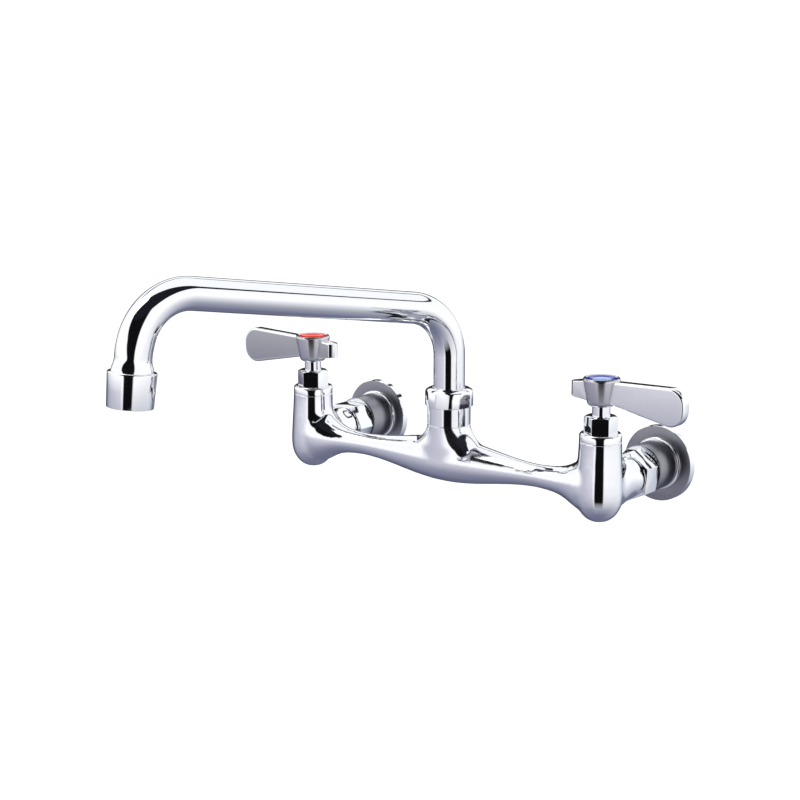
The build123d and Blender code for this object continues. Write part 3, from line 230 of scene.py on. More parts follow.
walls = ramp(tree, around, [
    (0.0, 0.01), (bearing(-150), 0.01), (bearing(-138), (0.12, 0.12, 0.17)),
    (bearing(-122), (0.34, 0.35, 0.44)), (bearing(-104), (0.48, 0.49, 0.58)),
    (bearing(-80), (0.56, 0.56, 0.64)), (bearing(-42), (0.70, 0.68, 0.76)),
    (bearing(-34), (1.0, 0.99, 1.0)), (bearing(105), (0.97, 0.98, 1.0)),
    (bearing(128), (0.62, 0.66, 0.74)), (bearing(140), (0.18, 0.20, 0.26)),
    (1.0, (0.10, 0.11, 0.15))])
high_walls = ramp(tree, around, [
    (0.0, 0.02), (bearing(-150), 0.02), (bearing(-138), 0.8), (bearing(-120), 1.0),
    (bearing(120), 1.0), (bearing(158), 0.9), (bearing(168), 0.02), (1.0, 0.02)])
TOP_WHITE, GROUND_GREY = (0.97, 0.98, 1.0), (0.15, 0.16, 0.24)
from_below = calculate(tree, "ADD", height, 1.0)
depth = calculate(tree, "MULTIPLY", height, -1.0)
above_horizon = ramp(tree, from_below, [(0.0, 0.0), (0.84, 0.0), (1.0, 1.0)])
well_above = ramp(tree, height, [(0.0, 0.0), (0.26, 0.0), (0.34, 1.0)])
near_ground = ramp(tree, depth, [(0.0, 0.0), (0.12, 0.0), (0.40, 0.35), (0.70, 0.72),
                                 (1.0, 1.0)])
room = mixed(tree, above_horizon, walls, high_walls)
room = mixed(tree, well_above, room, TOP_WHITE)
room = mixed(tree, near_ground, room, GROUND_GREY)
print("walls and ground:", len(tree.nodes), "nodes so far")

# %% [markdown]
# ### The dark gap
# Two ramps, one for each edge, multiplied, leave a dark upright band beside the camera. Its
# edges lean outwards above the horizon, where the bent spout looks, and it fades out towards
# the ground, so the stripe on a round barrel ends softly above its rounded foot.

# %% Dark gap
GAP_BLACK, LEFT_LEAN, RIGHT_LEAN = (0.004, 0.004, 0.005), 0.16, 0.06
upwards = calculate(tree, "MAXIMUM", height, 0.0)
at_left = calculate(tree, "ADD", around, calculate(tree, "MULTIPLY", upwards, LEFT_LEAN))
at_right = calculate(tree, "SUBTRACT", around,
                     calculate(tree, "MULTIPLY", upwards, RIGHT_LEAN))
gap = calculate(
    tree, "MULTIPLY",
    ramp(tree, at_left, [(0.0, 0.0), (bearing(-31), 0.0), (bearing(-27), 1.0)]),
    ramp(tree, at_right, [(0.0, 1.0), (bearing(12), 1.0), (bearing(17), 0.0)]))
above_gap_foot = ramp(tree, from_below, [(0.0, 0.0), (0.28, 0.0), (0.60, 1.0)])
room = mixed(tree, calculate(tree, "MULTIPLY", gap, above_gap_foot), room, GAP_BLACK)
print("gap from -29 to 15 degrees beside the camera")

# %% [markdown]
# ### The seam under the ceiling cloth
# A white cloth hangs over the set, and between it and the walls a dark seam runs all round.
# Long level tubes show it along their backs as a thin line. The seam leans a little to one
# side, and the cloth is lifted towards the camera, where the seam widens into the black
# wedge on the outside of the spout's bend. Lifting starts slowly, hence the power.

# %% Seam and ceiling
SEAM_BLACK, CLOTH_WHITE = (0.01, 0.01, 0.015), (0.95, 0.96, 1.0)
SEAM_LEAN, CLOTH_LIFT, LIFT_POWER, LEFT_DROP = 0.097, 3.0, 1.4, 0.1
seam_height = calculate(tree, "ADD", height,
                        calculate(tree, "MULTIPLY", to_right, SEAM_LEAN))
lift = calculate(tree, "MAXIMUM", calculate(tree, "ADD", to_camera, 0.06), 0.0)
lift = calculate(tree, "MULTIPLY", calculate(tree, "POWER", lift, LIFT_POWER), CLOTH_LIFT)
leftwards = calculate(tree, "MINIMUM", to_right, 0.0)
cloth_height = calculate(tree, "ADD", calculate(tree, "SUBTRACT", seam_height, lift),
                         calculate(tree, "MULTIPLY", leftwards, LEFT_DROP))
below_seam = ramp(tree, seam_height, [(0.0, 1.0), (0.585, 1.0), (0.605, 0.0)])
ceiling = ramp(tree, cloth_height, [(0.0, 0.0), (0.640, 0.0), (0.660, 1.0)])
room = mixed(tree, below_seam, SEAM_BLACK, room)
room = mixed(tree, ceiling, room, CLOTH_WHITE)
print("seam", round(math.degrees(math.asin(0.62))), "degrees above the horizon")

# %% [markdown]
# ### Who sees the studio
# Light Path tells what kind of ray is asking. A mirrored ray gets the painted room and every
# other ray plain white, so the room shapes the chrome without colouring the background.

# %% Two backgrounds
reflected = add_node(tree, "ShaderNodeBackground", Strength=1.2)
tree.links.new(room, reflected.inputs["Color"])
backdrop = add_node(tree, "ShaderNodeBackground", Color=(1, 1, 1, 1), Strength=1.12)
chooser = tree.nodes.new("ShaderNodeMixShader")
tree.links.new(tree.nodes.new("ShaderNodeLightPath").outputs["Is Glossy Ray"],
               chooser.inputs[0])
tree.links.new(backdrop.outputs[0], chooser.inputs[1])
tree.links.new(reflected.outputs[0], chooser.inputs[2])
tree.links.new(chooser.outputs[0], tree.nodes.new("ShaderNodeOutputWorld").inputs["Surface"])
scene.view_settings.view_transform = "Standard"
print("studio painted with", len(tree.nodes), "nodes")

# %% [markdown]
# ## The floor and a soft light
# The faucet hangs on its wall, so the floor is well below it: near enough to belong to
# the scene, far enough that its shadow is only a breath. It is left out of the reflections,
# because chrome has to mirror the painted walls below the horizon too. One large area light
# from the upper left gives the shadow a direction.

# %% Floor and light
FLOOR_Z = -95 * MM


def mesh_of(bm, name):
    """Write a bmesh to a new mesh and free it."""
    mesh = bpy.data.meshes.new(name)
    bm.to_mesh(mesh)
    bm.free()
    return mesh


sheet = bmesh.new()
bmesh.ops.create_grid(sheet, x_segments=1, y_segments=1, size=40.0)
bmesh.ops.translate(sheet, verts=sheet.verts, vec=(0, 0, FLOOR_Z))
floor = placed("floor", mesh_of(sheet, "floor"))
floor.visible_glossy = False
floor_paint = bpy.data.materials.new("pale_floor")
floor_paint.use_nodes = True
paint = floor_paint.node_tree.nodes["Principled BSDF"]
paint.inputs["Base Color"].default_value = (0.93, 0.93, 0.93, 1)
paint.inputs["Roughness"].default_value = 0.9
floor.data.materials.append(floor_paint)

softbox = placed("softbox", bpy.data.lights.new("softbox", "AREA"))
softbox.data.size = 1.6
softbox.data.energy = 14
softbox.location = (-1.2, -0.9, 1.9)
aim(softbox, Vector((0, -0.06, 0)) - softbox.location)
print("floor at", FLOOR_Z, "softbox", softbox.data.size, "m wide")

# %% [markdown]
# ## Finishes
# Plated metal is a Principled shader with Metallic at 1. What separates polished chrome from
# a perfect mirror is tiny: wiping haze that dulls it in soft patches, and hairline scratches.
# Brushed faces carry fine lines all in one direction. Both effects serve several materials,
# so each is a node group with named sockets: the group gives masks and heights, and the
# material decides what to do with them. Copying the nodes into every material would look the
# same, but each change would then have to be made many times.


# %% Group: wiping haze and hairlines
def new_group(name, inputs, outputs):
    """An empty shader node group with (name, kind, value) inputs and (name, kind) outputs."""
    group = bpy.data.node_groups.new(name, "ShaderNodeTree")
    for socket_name, kind, value in inputs:
        socket = group.interface.new_socket(socket_name, in_out="INPUT", socket_type=kind)
        if value is not None:
            socket.default_value = value
    for socket_name, kind in outputs:
        group.interface.new_socket(socket_name, in_out="OUTPUT", socket_type=kind)
    return group, group.nodes.new("NodeGroupInput"), group.nodes.new("NodeGroupOutput")


haze, given, result = new_group(
    "wiping_haze",
    [("Vector", "NodeSocketVector", None), ("Polish", "NodeSocketFloat", 0.04),
     ("Haze", "NodeSocketFloat", 0.05)],
    [("Roughness", "NodeSocketFloat"), ("Height", "NodeSocketFloat")])
patches = add_node(haze, "ShaderNodeTexNoise", Scale=38.0, Detail=4.0, Roughness=0.55)
haze.links.new(given.outputs["Vector"], patches.inputs["Vector"])
patch_mask = ramp(haze, patches.outputs["Fac"], [(0.42, 0.0), (0.72, 1.0)])
hairlines = add_node(haze, "ShaderNodeTexNoise", Scale=900.0, Detail=2.0, Distortion=1.5)
haze.links.new(given.outputs["Vector"], hairlines.inputs["Vector"])
dulling = calculate(haze, "MULTIPLY", patch_mask, given.outputs["Haze"])
dulling = calculate(haze, "MULTIPLY", dulling,
                    calculate(haze, "ADD", hairlines.outputs["Fac"], 0.5))
haze.links.new(calculate(haze, "ADD", given.outputs["Polish"], dulling),
               result.inputs["Roughness"])
haze.links.new(hairlines.outputs["Fac"], result.inputs["Height"])
print("group", haze.name, "with", len(haze.nodes), "nodes")

# %% Group: brushing lines
brushing, given, result = new_group(
    "brushing",
    [("Vector", "NodeSocketVector", None), ("Satin", "NodeSocketFloat", 0.25),
     ("Spread", "NodeSocketFloat", 0.12)],
    [("Roughness", "NodeSocketFloat"), ("Shade", "NodeSocketFloat"),
     ("Height", "NodeSocketFloat")])
fine = add_node(brushing, "ShaderNodeTexNoise", Scale=1.0, Detail=5.0, Roughness=0.7)
brushing.links.new(given.outputs["Vector"], fine.inputs["Vector"])
spread = calculate(brushing, "MULTIPLY", fine.outputs["Fac"], given.outputs["Spread"])
brushing.links.new(calculate(brushing, "ADD", given.outputs["Satin"], spread),
                   result.inputs["Roughness"])
brushing.links.new(fine.outputs["Fac"], result.inputs["Shade"])
brushing.links.new(fine.outputs["Fac"], result.inputs["Height"])
print("group", brushing.name, "with", len(brushing.nodes), "nodes")

# %% [markdown]
# ### Chrome, satin and brushed metal
# A group is placed on Object coordinates, which stay with a piece when its joint moves. A
# Mapping node stretches them: nearly no stretch along the lines and a great one across them
# turns round noise into brushing. Height goes through a Bump node, because lines this fine
# are too small to be modelled.


# %% Materials
def new_material(name, colour, metallic, roughness):
    """A Principled material and its shader node."""
    material = bpy.data.materials.new(name)
    material.use_nodes = True
    shader = material.node_tree.nodes["Principled BSDF"]
    shader.inputs["Base Color"].default_value = (*colour, 1)
    shader.inputs["Metallic"].default_value = metallic
    shader.inputs["Roughness"].default_value = roughness
    return material, shader


def placed_group(material, group, mapping, coordinates=None, **values):
    """A group behind a Mapping node, on Object coordinates unless others are given."""
    tree = material.node_tree
    if coordinates is None:
        coordinates = tree.nodes.new("ShaderNodeTexCoord").outputs["Object"]
    placing = add_node(tree, "ShaderNodeMapping", **mapping)
    node = add_node(tree, "ShaderNodeGroup", set_node_tree=group, **values)
    tree.links.new(coordinates, placing.inputs["Vector"])
    tree.links.new(placing.outputs["Vector"], node.inputs["Vector"])
    return node


def bump_from(material, shader, height, strength, distance):
    """Feed a height to the shader's normal through a Bump node."""
    bump = add_node(material.node_tree, "ShaderNodeBump", Strength=strength, Distance=distance)
    material.node_tree.links.new(height, bump.inputs["Height"])
    material.node_tree.links.new(bump.outputs["Normal"], shader.inputs["Normal"])


def polished(name, colour, polish, wiping):
    """A plated or machined metal that has been wiped by hand."""
    material, shader = new_material(name, colour, 1.0, polish)
    node = placed_group(material, haze, {}, Polish=polish, Haze=wiping)
    material.node_tree.links.new(node.outputs["Roughness"], shader.inputs["Roughness"])
    bump_from(material, shader, node.outputs["Height"], 0.02, 0.00002)
    return material


def brushed(name, colour, stretch, satin, lines):
    """A metal with fine lines; stretch is small along the lines and large across them."""
    material, shader = new_material(name, colour, 1.0, satin)
    node = placed_group(material, brushing, {"Scale": stretch}, Satin=satin, Spread=0.14)
    tree = material.node_tree
    tree.links.new(node.outputs["Roughness"], shader.inputs["Roughness"])
    dark = tuple(channel * 0.86 for channel in colour)
    tree.links.new(ramp(tree, node.outputs["Shade"], [(0.3, dark), (0.7, colour)]),
                   shader.inputs["Base Color"])
    bump_from(material, shader, node.outputs["Height"], lines, 0.00004)
    return material


CHROME = polished("polished_chrome", (0.83, 0.84, 0.86), 0.035, 0.05)
CAST_CHROME = polished("chrome_on_casting", (0.82, 0.83, 0.86), 0.045, 0.07)
# Both levers have one and the same satin finish. The hot lever's copy is painted darker as shade, and the cold
# lever's copy is painted lighter as light that falls on it.
SATIN_LIT_AND_SHADED_COPIES = {
    "hot": brushed("satin_face_painted_shade", (0.46, 0.46, 0.49), (300, 300, 9000), 0.26, 0.15),
    "cold": brushed("satin_face_painted_light", (0.78, 0.79, 0.82), (300, 300, 9000), 0.24, 0.15)}
HUB_BRUSH = brushed("brushed_hub", (0.64, 0.64, 0.67), (9000, 9000, 200), 0.13, 0.3)
print("chrome and satin:", CHROME.name, CAST_CHROME.name, HUB_BRUSH.name, len(SATIN_LIT_AND_SHADED_COPIES))

# %% [markdown]
# ## Helpers for every metal piece
# Turned pieces start as a half outline that spin carries once round its axis. Sharp edges
# never survive polishing, so break_edges bevels every edge that is sharper than an angle.
# combined joins or cuts two shapes with a Boolean modifier, which copes with crossing curved
# skins. finish_piece marks which faces shade smoothly, writes the mesh, gives the piece its
# body and says which solids it stands for.


# %% Turning, breaking edges, finishing
SAME_SPOT = 0.0005 * MM


def turned(bm, outline, centre, axis=UP, steps=96):
    """Spin a half outline of (radius, distance along the axis) points, in millimetres."""
    axis = Vector(axis)
    sideways = Vector((1, 0, 0))
    corners = [bm.verts.new(centre + sideways * radius * MM + axis * along * MM)
               for radius, along in outline]
    count = len(corners)
    closed = outline[0][0] > 0 or outline[-1][0] > 0
    lines = [bm.edges.new((corners[place], corners[(place + 1) % count]))
             for place in range(count if closed else count - 1)]
    bmesh.ops.spin(bm, geom=corners + lines, cent=centre, axis=axis,
                   angle=2 * math.pi, steps=steps, use_merge=True)
    bmesh.ops.remove_doubles(bm, verts=bm.verts, dist=SAME_SPOT)
    bmesh.ops.recalc_face_normals(bm, faces=bm.faces)


def stood_on(centre, axis, along):
    """The matrix that moves an upright shape along an axis, in millimetres."""
    return (Matrix.Translation(centre + Vector(axis) * along * MM)
            @ Vector(axis).to_track_quat("Z", "Y").to_matrix().to_4x4())


def break_edges(bm, width, segments=3, sharper_than=28, keep=lambda edge: True):
    """Round every edge that is sharper than an angle, in degrees."""
    limit = math.radians(sharper_than)
    edges = [edge for edge in bm.edges
             if len(edge.link_faces) == 2 and edge.calc_face_angle() > limit and keep(edge)]
    bmesh.ops.bevel(bm, geom=edges, offset=width * MM, offset_type="OFFSET",
                    segments=segments, profile=0.5, affect="EDGES", clamp_overlap=True,
                    material=-1)


def combined(operation, first, second):
    """The exact union, difference or intersection of two bmeshes, as a new bmesh."""
    objects = [placed(name, mesh_of(part, name))
               for name, part in (("operand_0", first), ("operand_1", second))]
    cut = objects[0].modifiers.new("cut", "BOOLEAN")
    cut.operation = operation
    cut.solver = "EXACT"
    cut.object = objects[1]
    result = bmesh.new()
    result.from_object(objects[0], bpy.context.evaluated_depsgraph_get())
    for leftover in objects:
        data = leftover.data
        bpy.data.objects.remove(leftover)
        bpy.data.meshes.remove(data)
    bmesh.ops.remove_doubles(result, verts=result.verts, dist=SAME_SPOT)
    bmesh.ops.dissolve_degenerate(result, edges=result.edges, dist=SAME_SPOT)
    return result


def finish_piece(bm, name, body, stands_for, materials, smooth_below=32):
    """Write a bmesh as a piece that rides on a body and stands for CAD nodes."""
    limit = math.radians(smooth_below)
    for face in bm.faces:
        face.smooth = True
    for edge in bm.edges:
        edge.smooth = len(edge.link_faces) != 2 or edge.calc_face_angle() < limit
    piece = placed(name, mesh_of(bm, name))
    for material in materials:
        piece.data.materials.append(material)
    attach(piece, body)
    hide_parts(*stands_for)
    print(f"{name}: {len(piece.data.polygons)} faces on {body}")


print("points closer than", SAME_SPOT, "m are merged")

# %% [markdown]
# ## The cast body
# The real body is cast in sand, so nothing on it is sharp: the arms swell out of the middle
# and run into the barrels with wide hollows. A foundry makes the pattern from turned wood and
# fills the inside corners with wax. This follows it. Turned barrels, swelling arms and a boss
# are laid into each other, a voxel remesh makes one skin of them, and smoothing fills only
# the hollows, as wax would. The bores and faces are cut afterwards, as on the machine, which
# keeps their lips crisp.


# %% Body outlines
def edges_of(verts):
    """The edges at some vertices, each once and always in the same order."""
    return list(dict.fromkeys(edge for vert in verts for edge in vert.link_edges))


def swell(bm, ovals, centre, axis, sides=64):
    """Loft ovals (distance along the axis, half width, half height) into one closed skin."""
    loops = []
    for along, half_width, half_height in ovals:
        place = (stood_on(centre, axis, along)
                 @ Matrix.Diagonal((half_width * MM, half_height * MM, 1, 1)))
        made = bmesh.ops.create_circle(bm, cap_ends=False, segments=sides, radius=1.0,
                                       matrix=place)
        loops.append(edges_of(made["verts"]))
    for near, far in zip(loops, loops[1:]):
        bmesh.ops.bridge_loops(bm, edges=near + far)
    bmesh.ops.holes_fill(bm, edges=loops[0] + loops[-1], sides=0)
    bmesh.ops.recalc_face_normals(bm, faces=bm.faces)


BARREL_OUTLINE = [(0, 26), (11.6, 26), (11.65, 22), (11.9, 17), (12.2, 12), (12.5, 7),
                  (12.85, 1), (13.0, -4), (12.85, -7.5), (12.3, -10.6), (11.2, -13.5),
                  (9.6, -16.1), (7.4, -18.4), (5.0, -19.8), (2.5, -20.5), (0, -20.7)]
ARM_OVALS = [(0, 12.6, 12.6), (7, 12.45, 12.45), (14, 11.9, 11.9), (21, 11.1, 11.1),
             (28, 10.05, 10.05), (36, 8.8, 8.8), (43, 7.8, 7.8), (50, 7.0, 7.0),
             (57, 6.5, 6.5), (62, 6.4, 6.4), (68, 6.8, 6.65), (74, 7.6, 7.3), (79, 8.7, 8.4),
             (83, 9.9, 10.0), (87, 11.1, 12.2), (91, 12.1, 14.2), (96, 12.7, 15.4)]
TAIL_OVALS = [(2, 11.6, 15.5), (8, 12.2, 15.0), (12, 12.2, 14.0), (16, 12.0, 12.8),
              (20, 11.8, 12.0), (28, 11.8, 11.8)]
BOSS_OVALS = [(-1.5, 26, 12.4), (5, 25, 12.4), (8.2, 21.5, 12.4), (10.6, 18.0, 12.35),
              (13.2, 15.2, 12.3), (16, 13.3, 12.25), (18.5, 12.4, 12.2), (21, 12.2, 12.2)]
print("barrel points:", len(BARREL_OUTLINE), "arm ovals:", 2 * len(ARM_OVALS) - 1)

# %% [markdown]
# ### One skin
# The pattern's pieces go through each other. A Boolean would join them and leave sharp
# inside corners to be bevelled. A voxel remesh joins them just as well and gives the even
# net of small faces that the wax needs.

# %% One skin from the pattern pieces
pattern_mesh = bpy.data.meshes.new("pattern")


def lay_in(shape):
    """Add a closed bmesh to the pattern."""
    together = bmesh.new()
    together.from_mesh(pattern_mesh)
    mesh = mesh_of(shape, "pattern_piece")
    together.from_mesh(mesh)
    together.to_mesh(pattern_mesh)
    together.free()
    bpy.data.meshes.remove(mesh)


for axis in VALVE_AXIS.values():
    barrel = bmesh.new()
    turned(barrel, BARREL_OUTLINE, axis)
    lay_in(barrel)
    tail = bmesh.new()
    swell(tail, TAIL_OVALS, axis + TO_BODY_AXIS, TO_WALL)
    lay_in(tail)
arms = bmesh.new()
swell(arms, [(-x, width, height) for x, width, height in reversed(ARM_OVALS[1:])] + ARM_OVALS,
      SPOUT_AXIS + TO_BODY_AXIS, ACROSS)
lay_in(arms)
boss = bmesh.new()
swell(boss, BOSS_OVALS, SPOUT_AXIS, UP)
lay_in(boss)
neck = bmesh.new()
turned(neck, [(0, 19), (10.8, 19), (10.8, 30), (0, 30)], SPOUT_AXIS)
lay_in(neck)

pattern = placed("pattern", pattern_mesh)
skin = pattern.modifiers.new("one skin", "REMESH")
skin.mode = "VOXEL"
skin.voxel_size = 0.65 * MM
casting = bmesh.new()
casting.from_object(pattern, bpy.context.evaluated_depsgraph_get())
bpy.data.objects.remove(pattern)
bpy.data.meshes.remove(pattern_mesh)
print("casting:", len(casting.verts), "vertices")


# %% [markdown]
# ### Wax
# Smoothing alone would also shrink the slim arms. Wax only goes where a finger can push it:
# into hollows. So each round moves a point to the middle of its neighbours only where that
# middle lies outside the skin. A few plain rounds at the end take out the remesh's grain.


# %% Wax in the hollows
def fill_hollows(bm, rounds):
    """Raise every hollow point towards the middle of its neighbours."""
    bm.verts.index_update()
    place = np.array([vert.co for vert in bm.verts])
    ends = np.array([[vert.index for vert in edge.verts] for edge in bm.edges])
    corners = np.array([[loop.vert.index for loop in face.loops] for face in bm.faces])
    start, end = np.concatenate([ends, ends[:, ::-1]]).T
    count = np.bincount(start, minlength=len(place))[:, None]
    for turn in range(rounds):
        middle = np.stack([np.bincount(start, place[end, k], len(place)) for k in range(3)], 1)
        pull = middle / count - place
        if turn % 10 == 0:
            diagonal_a = place[corners[:, 2]] - place[corners[:, 0]]
            diagonal_b = place[corners[:, 3]] - place[corners[:, 1]]
            facing = np.cross(diagonal_a, diagonal_b)
            normal = np.stack([sum(np.bincount(corners[:, c], facing[:, k], len(place))
                                   for c in range(4)) for k in range(3)], 1)
            normal /= np.linalg.norm(normal, axis=1)[:, None]
        hollow = (pull * normal).sum(1) > 0
        place[hollow] += 0.5 * pull[hollow]
    for vert, spot in zip(bm.verts, place):
        vert.co = spot


def take_out_grain(bm, rounds=4):
    """Smooth the whole skin a little."""
    for _ in range(rounds):
        bmesh.ops.smooth_vert(bm, verts=bm.verts, factor=0.5,
                              use_axis_x=True, use_axis_y=True, use_axis_z=True)


bmesh.ops.recalc_face_normals(casting, faces=casting.faces)
take_out_grain(casting)
fill_hollows(casting, 160)
take_out_grain(casting)
print("waxed:", len(casting.faces), "faces")

# %% [markdown]
# ## Machining the casting
# One set of cutters takes the skin down to the frame's own faces: the barrel lips, the ledge
# under the spout nut and the ends of the tails. Each lip gets a small chamfer from the slope
# of its cutter. The same set opens the bores of the barrels, the tails and the boss.

# %% Faces, ledges and bores
cutters = bmesh.new()
barrel_top = BARREL_TOP_Z / MM
for axis in VALVE_AXIS.values():
    turned(cutters, [(0, -7), (8.5, -7), (8.5, barrel_top), (11.25, barrel_top),
                     (12.6, barrel_top - 1.2), (16, barrel_top - 1.2), (16, 40), (0, 40)], axis)
    tail_end = (NUT_FRONT_Y - axis.y) / MM - 0.75
    turned(cutters, [(0, tail_end - 12), (8.0, tail_end - 12), (8.0, tail_end),
                     (11.4, tail_end), (12.6, tail_end - 1.2), (16, tail_end - 1.2),
                     (16, tail_end + 9), (0, tail_end + 9)],
           axis + TO_BODY_AXIS, TO_WALL)
turned(cutters, [(10.8, 19.3), (11.9, 19.3), (13.2, 18.2), (17, 18.2), (17, 40), (0, 40),
                 (0, -7.5), (8.3, -7.5), (8.3, 28), (10.4, 28), (10.8, 27.6)], SPOUT_AXIS)
body = combined("DIFFERENCE", casting, cutters)
finish_piece(body, "cast_body", "root", ["faucet_body"], [CAST_CHROME])

# %% [markdown]
# ## The spout
# A real spout is one tube pushed over bending dies, so it is made the same way here: one
# circle of the tube, extruded along the straight runs and spun round the middle of each
# bend. Spin turns the last ring exactly, so straight and bent parts meet without a kink. At
# the outlet the tube is swaged wider for its collar, and Solidify gives it a wall.


# %% Bending a tube
TUBE_RADIUS, DROP_RADIUS = 8.9, 9.7
SWING = math.radians(15.7)
SPOUT_OUT = Vector((-math.sin(SWING), -math.cos(SWING), 0))
BEND_AXIS = SPOUT_OUT.cross(Vector(UP))


def middle_of(ring):
    """The vertices of a ring of edges and their middle."""
    verts = list(dict.fromkeys(vert for edge in ring for vert in edge.verts))
    return verts, sum((vert.co for vert in verts), Vector()) / len(verts)


def widened(bm, ring, factor):
    """Scale a ring about its own middle."""
    verts, middle = middle_of(ring)
    bmesh.ops.scale(bm, verts=verts, vec=(factor,) * 3, space=Matrix.Translation(-middle))
    return verts


def run_on(bm, ring, heading, length, widen=1.0):
    """Extrude the open ring straight on, in millimetres; returns the new ring."""
    made = bmesh.ops.extrude_edge_only(bm, edges=ring)["geom"]
    ring = [item for item in made if isinstance(item, bmesh.types.BMEdge)]
    bmesh.ops.translate(bm, verts=widened(bm, ring, widen), vec=heading * length * MM)
    return ring


def bend(bm, ring, heading, radius, degrees, steps, widen=1.0):
    """Spin the ring round a bend that turns downwards; returns the ring and its heading."""
    die = middle_of(ring)[1] + heading.cross(BEND_AXIS).normalized() * radius * MM
    for _ in range(steps):
        spun = bmesh.ops.spin(bm, geom=ring, cent=die, axis=BEND_AXIS,
                              angle=-math.radians(degrees / steps), steps=1,
                              use_duplicate=False)
        ring = [item for item in spun["geom_last"] if isinstance(item, bmesh.types.BMEdge)]
        widened(bm, ring, widen ** (1 / steps))
    return ring, Matrix.Rotation(-math.radians(degrees), 3, BEND_AXIS) @ heading


print("spout heads", [round(value, 3) for value in SPOUT_OUT])

# %% [markdown]
# ### Riser, run and drop
# The reach is measured level, from the riser's axis to the middle of the outlet. The bends
# and the drop use up some of it, and the straight run gets the rest. A curve with a bevel
# would be quicker to draw, but its rings would be evenly spread and not packed into bends.

# %% Spout tube
REACH, RISER_HEIGHT, DROP_LENGTH, OUTLET_DEPTH = 203.2, 26.8, 2, 25
TILT, DROP_LEAN, OUTLET_LEAN = 8.6, 16, 6
FIRST_BEND, SECOND_BEND, THIRD_BEND = 30, 29.5, 40
RISER_FOOT = low("spout_tube").z


def sine(degrees):
    return math.sin(math.radians(degrees))


def cosine(degrees):
    return math.cos(math.radians(degrees))


run_reach = (REACH - FIRST_BEND * (1 - sine(TILT))
             - SECOND_BEND * (sine(TILT) + cosine(DROP_LEAN)) - DROP_LENGTH * sine(DROP_LEAN)
             - THIRD_BEND * (cosine(OUTLET_LEAN) - cosine(DROP_LEAN))
             - OUTLET_DEPTH * sine(OUTLET_LEAN))
spout = bmesh.new()
made = bmesh.ops.create_circle(
    spout, segments=96, radius=TUBE_RADIUS * MM,
    matrix=Matrix.Translation(SPOUT_AXIS + Vector((0, 0, RISER_FOOT))))
ring = edges_of(made["verts"])
heading = Vector(UP)
ring = run_on(spout, ring, heading, RISER_HEIGHT)
ring, heading = bend(spout, ring, heading, FIRST_BEND, 90 - TILT, 40)
ring = run_on(spout, ring, heading, run_reach / cosine(TILT))
ring, heading = bend(spout, ring, heading, SECOND_BEND, 90 + TILT - DROP_LEAN, 40,
                     DROP_RADIUS / TUBE_RADIUS)
ring = run_on(spout, ring, heading, DROP_LENGTH)
ring, OUTLET_HEADING = bend(spout, ring, heading, THIRD_BEND, DROP_LEAN - OUTLET_LEAN, 8)
swage_top = middle_of(ring)[1]
radius = DROP_RADIUS
for step_length, wider in [(1.2, 9.78), (1.3, 10.05), (1.3, 10.45), (1.3, 10.85), (1.4, 11.2),
                           (8.0, 11.2)]:
    ring = run_on(spout, ring, OUTLET_HEADING, step_length, wider / radius)
    radius = wider
bmesh.ops.recalc_face_normals(spout, faces=spout.faces)
bmesh.ops.solidify(spout, geom=spout.faces[:], thickness=1.2 * MM)
bmesh.ops.recalc_face_normals(spout, faces=spout.faces)
finish_piece(spout, "bent_spout", "spout", ["spout_tube"], [CHROME])
print("run", round(run_reach, 1), "mm long, seen from above")

# %% [markdown]
# ## The outlet collar
# A short ring nut holds the aerator under the swage. It tapers a little, its top edge is
# well rounded, and its mouth has a narrow polished lip. It is turned on the outlet's own
# leaning axis, so the helper gets that heading as its axis.

# %% Outlet collar
def turned_about(outline, centre, heading):
    """Turn an outline upright, then lean it onto a heading."""
    bm = bmesh.new()
    turned(bm, outline, Vector())
    lean = Vector(UP).rotation_difference(heading).to_matrix().to_4x4()
    bmesh.ops.transform(bm, matrix=Matrix.Translation(centre) @ lean, verts=bm.verts)
    return bm


def depth_below(vert):
    """How far down the outlet a vertex lies, in millimetres."""
    return (vert.co - swage_top).dot(OUTLET_HEADING) / MM


collar = turned_about([(11.25, 6.5), (12.8, 6.5), (12.1, OUTLET_DEPTH), (8.8, OUTLET_DEPTH),
                       (8.8, 23.4), (10.0, 23.4), (10.0, 16.5), (11.25, 16.5)],
                      swage_top, OUTLET_HEADING)
break_edges(collar, 0.9, 5, keep=lambda edge: all(
    depth_below(vert) < 7 for vert in edge.verts)
    and (edge.verts[0].co - swage_top).length > 13.5 * MM)
break_edges(collar, 0.25, sharper_than=50, keep=lambda edge: all(
    depth_below(vert) > 24.5 for vert in edge.verts))
finish_piece(collar, "outlet_ring", "spout", ["outlet_collar"], [CHROME])

# %% [markdown]
# ## The spout nut
# Below, the nut is a round skirt; above, a hexagon stands a hair proud of it with its corners
# turned to a cone. A lathe makes such a crown by cutting the hexagon with a turned outline,
# and an intersection does the same to two meshes. The bevel that follows is the edge break
# that catches the light.


# %% Hexagon helper and spout nut
def crowned_hexagon(flats, foot, height, turn, outline, centre, axis=UP):
    """A hexagon cut by a turned outline; turn is the angle of one of its corners."""
    hexagon = bmesh.new()
    reach = flats / 2 / math.cos(math.pi / 6) * MM
    bmesh.ops.create_cone(hexagon, cap_ends=True, segments=6, radius1=reach, radius2=reach,
                          depth=height * MM, matrix=stood_on(centre, axis, foot + height / 2)
                          @ Matrix.Rotation(math.radians(turn - 90), 4, "Z"))
    envelope = bmesh.new()
    turned(envelope, outline, centre, axis)
    return combined("INTERSECT", hexagon, envelope)


def bored(blank, outline, centre, axis=UP):
    """Cut a turned hollow out of a blank."""
    drill = bmesh.new()
    turned(drill, outline, centre, axis)
    return combined("DIFFERENCE", blank, drill)


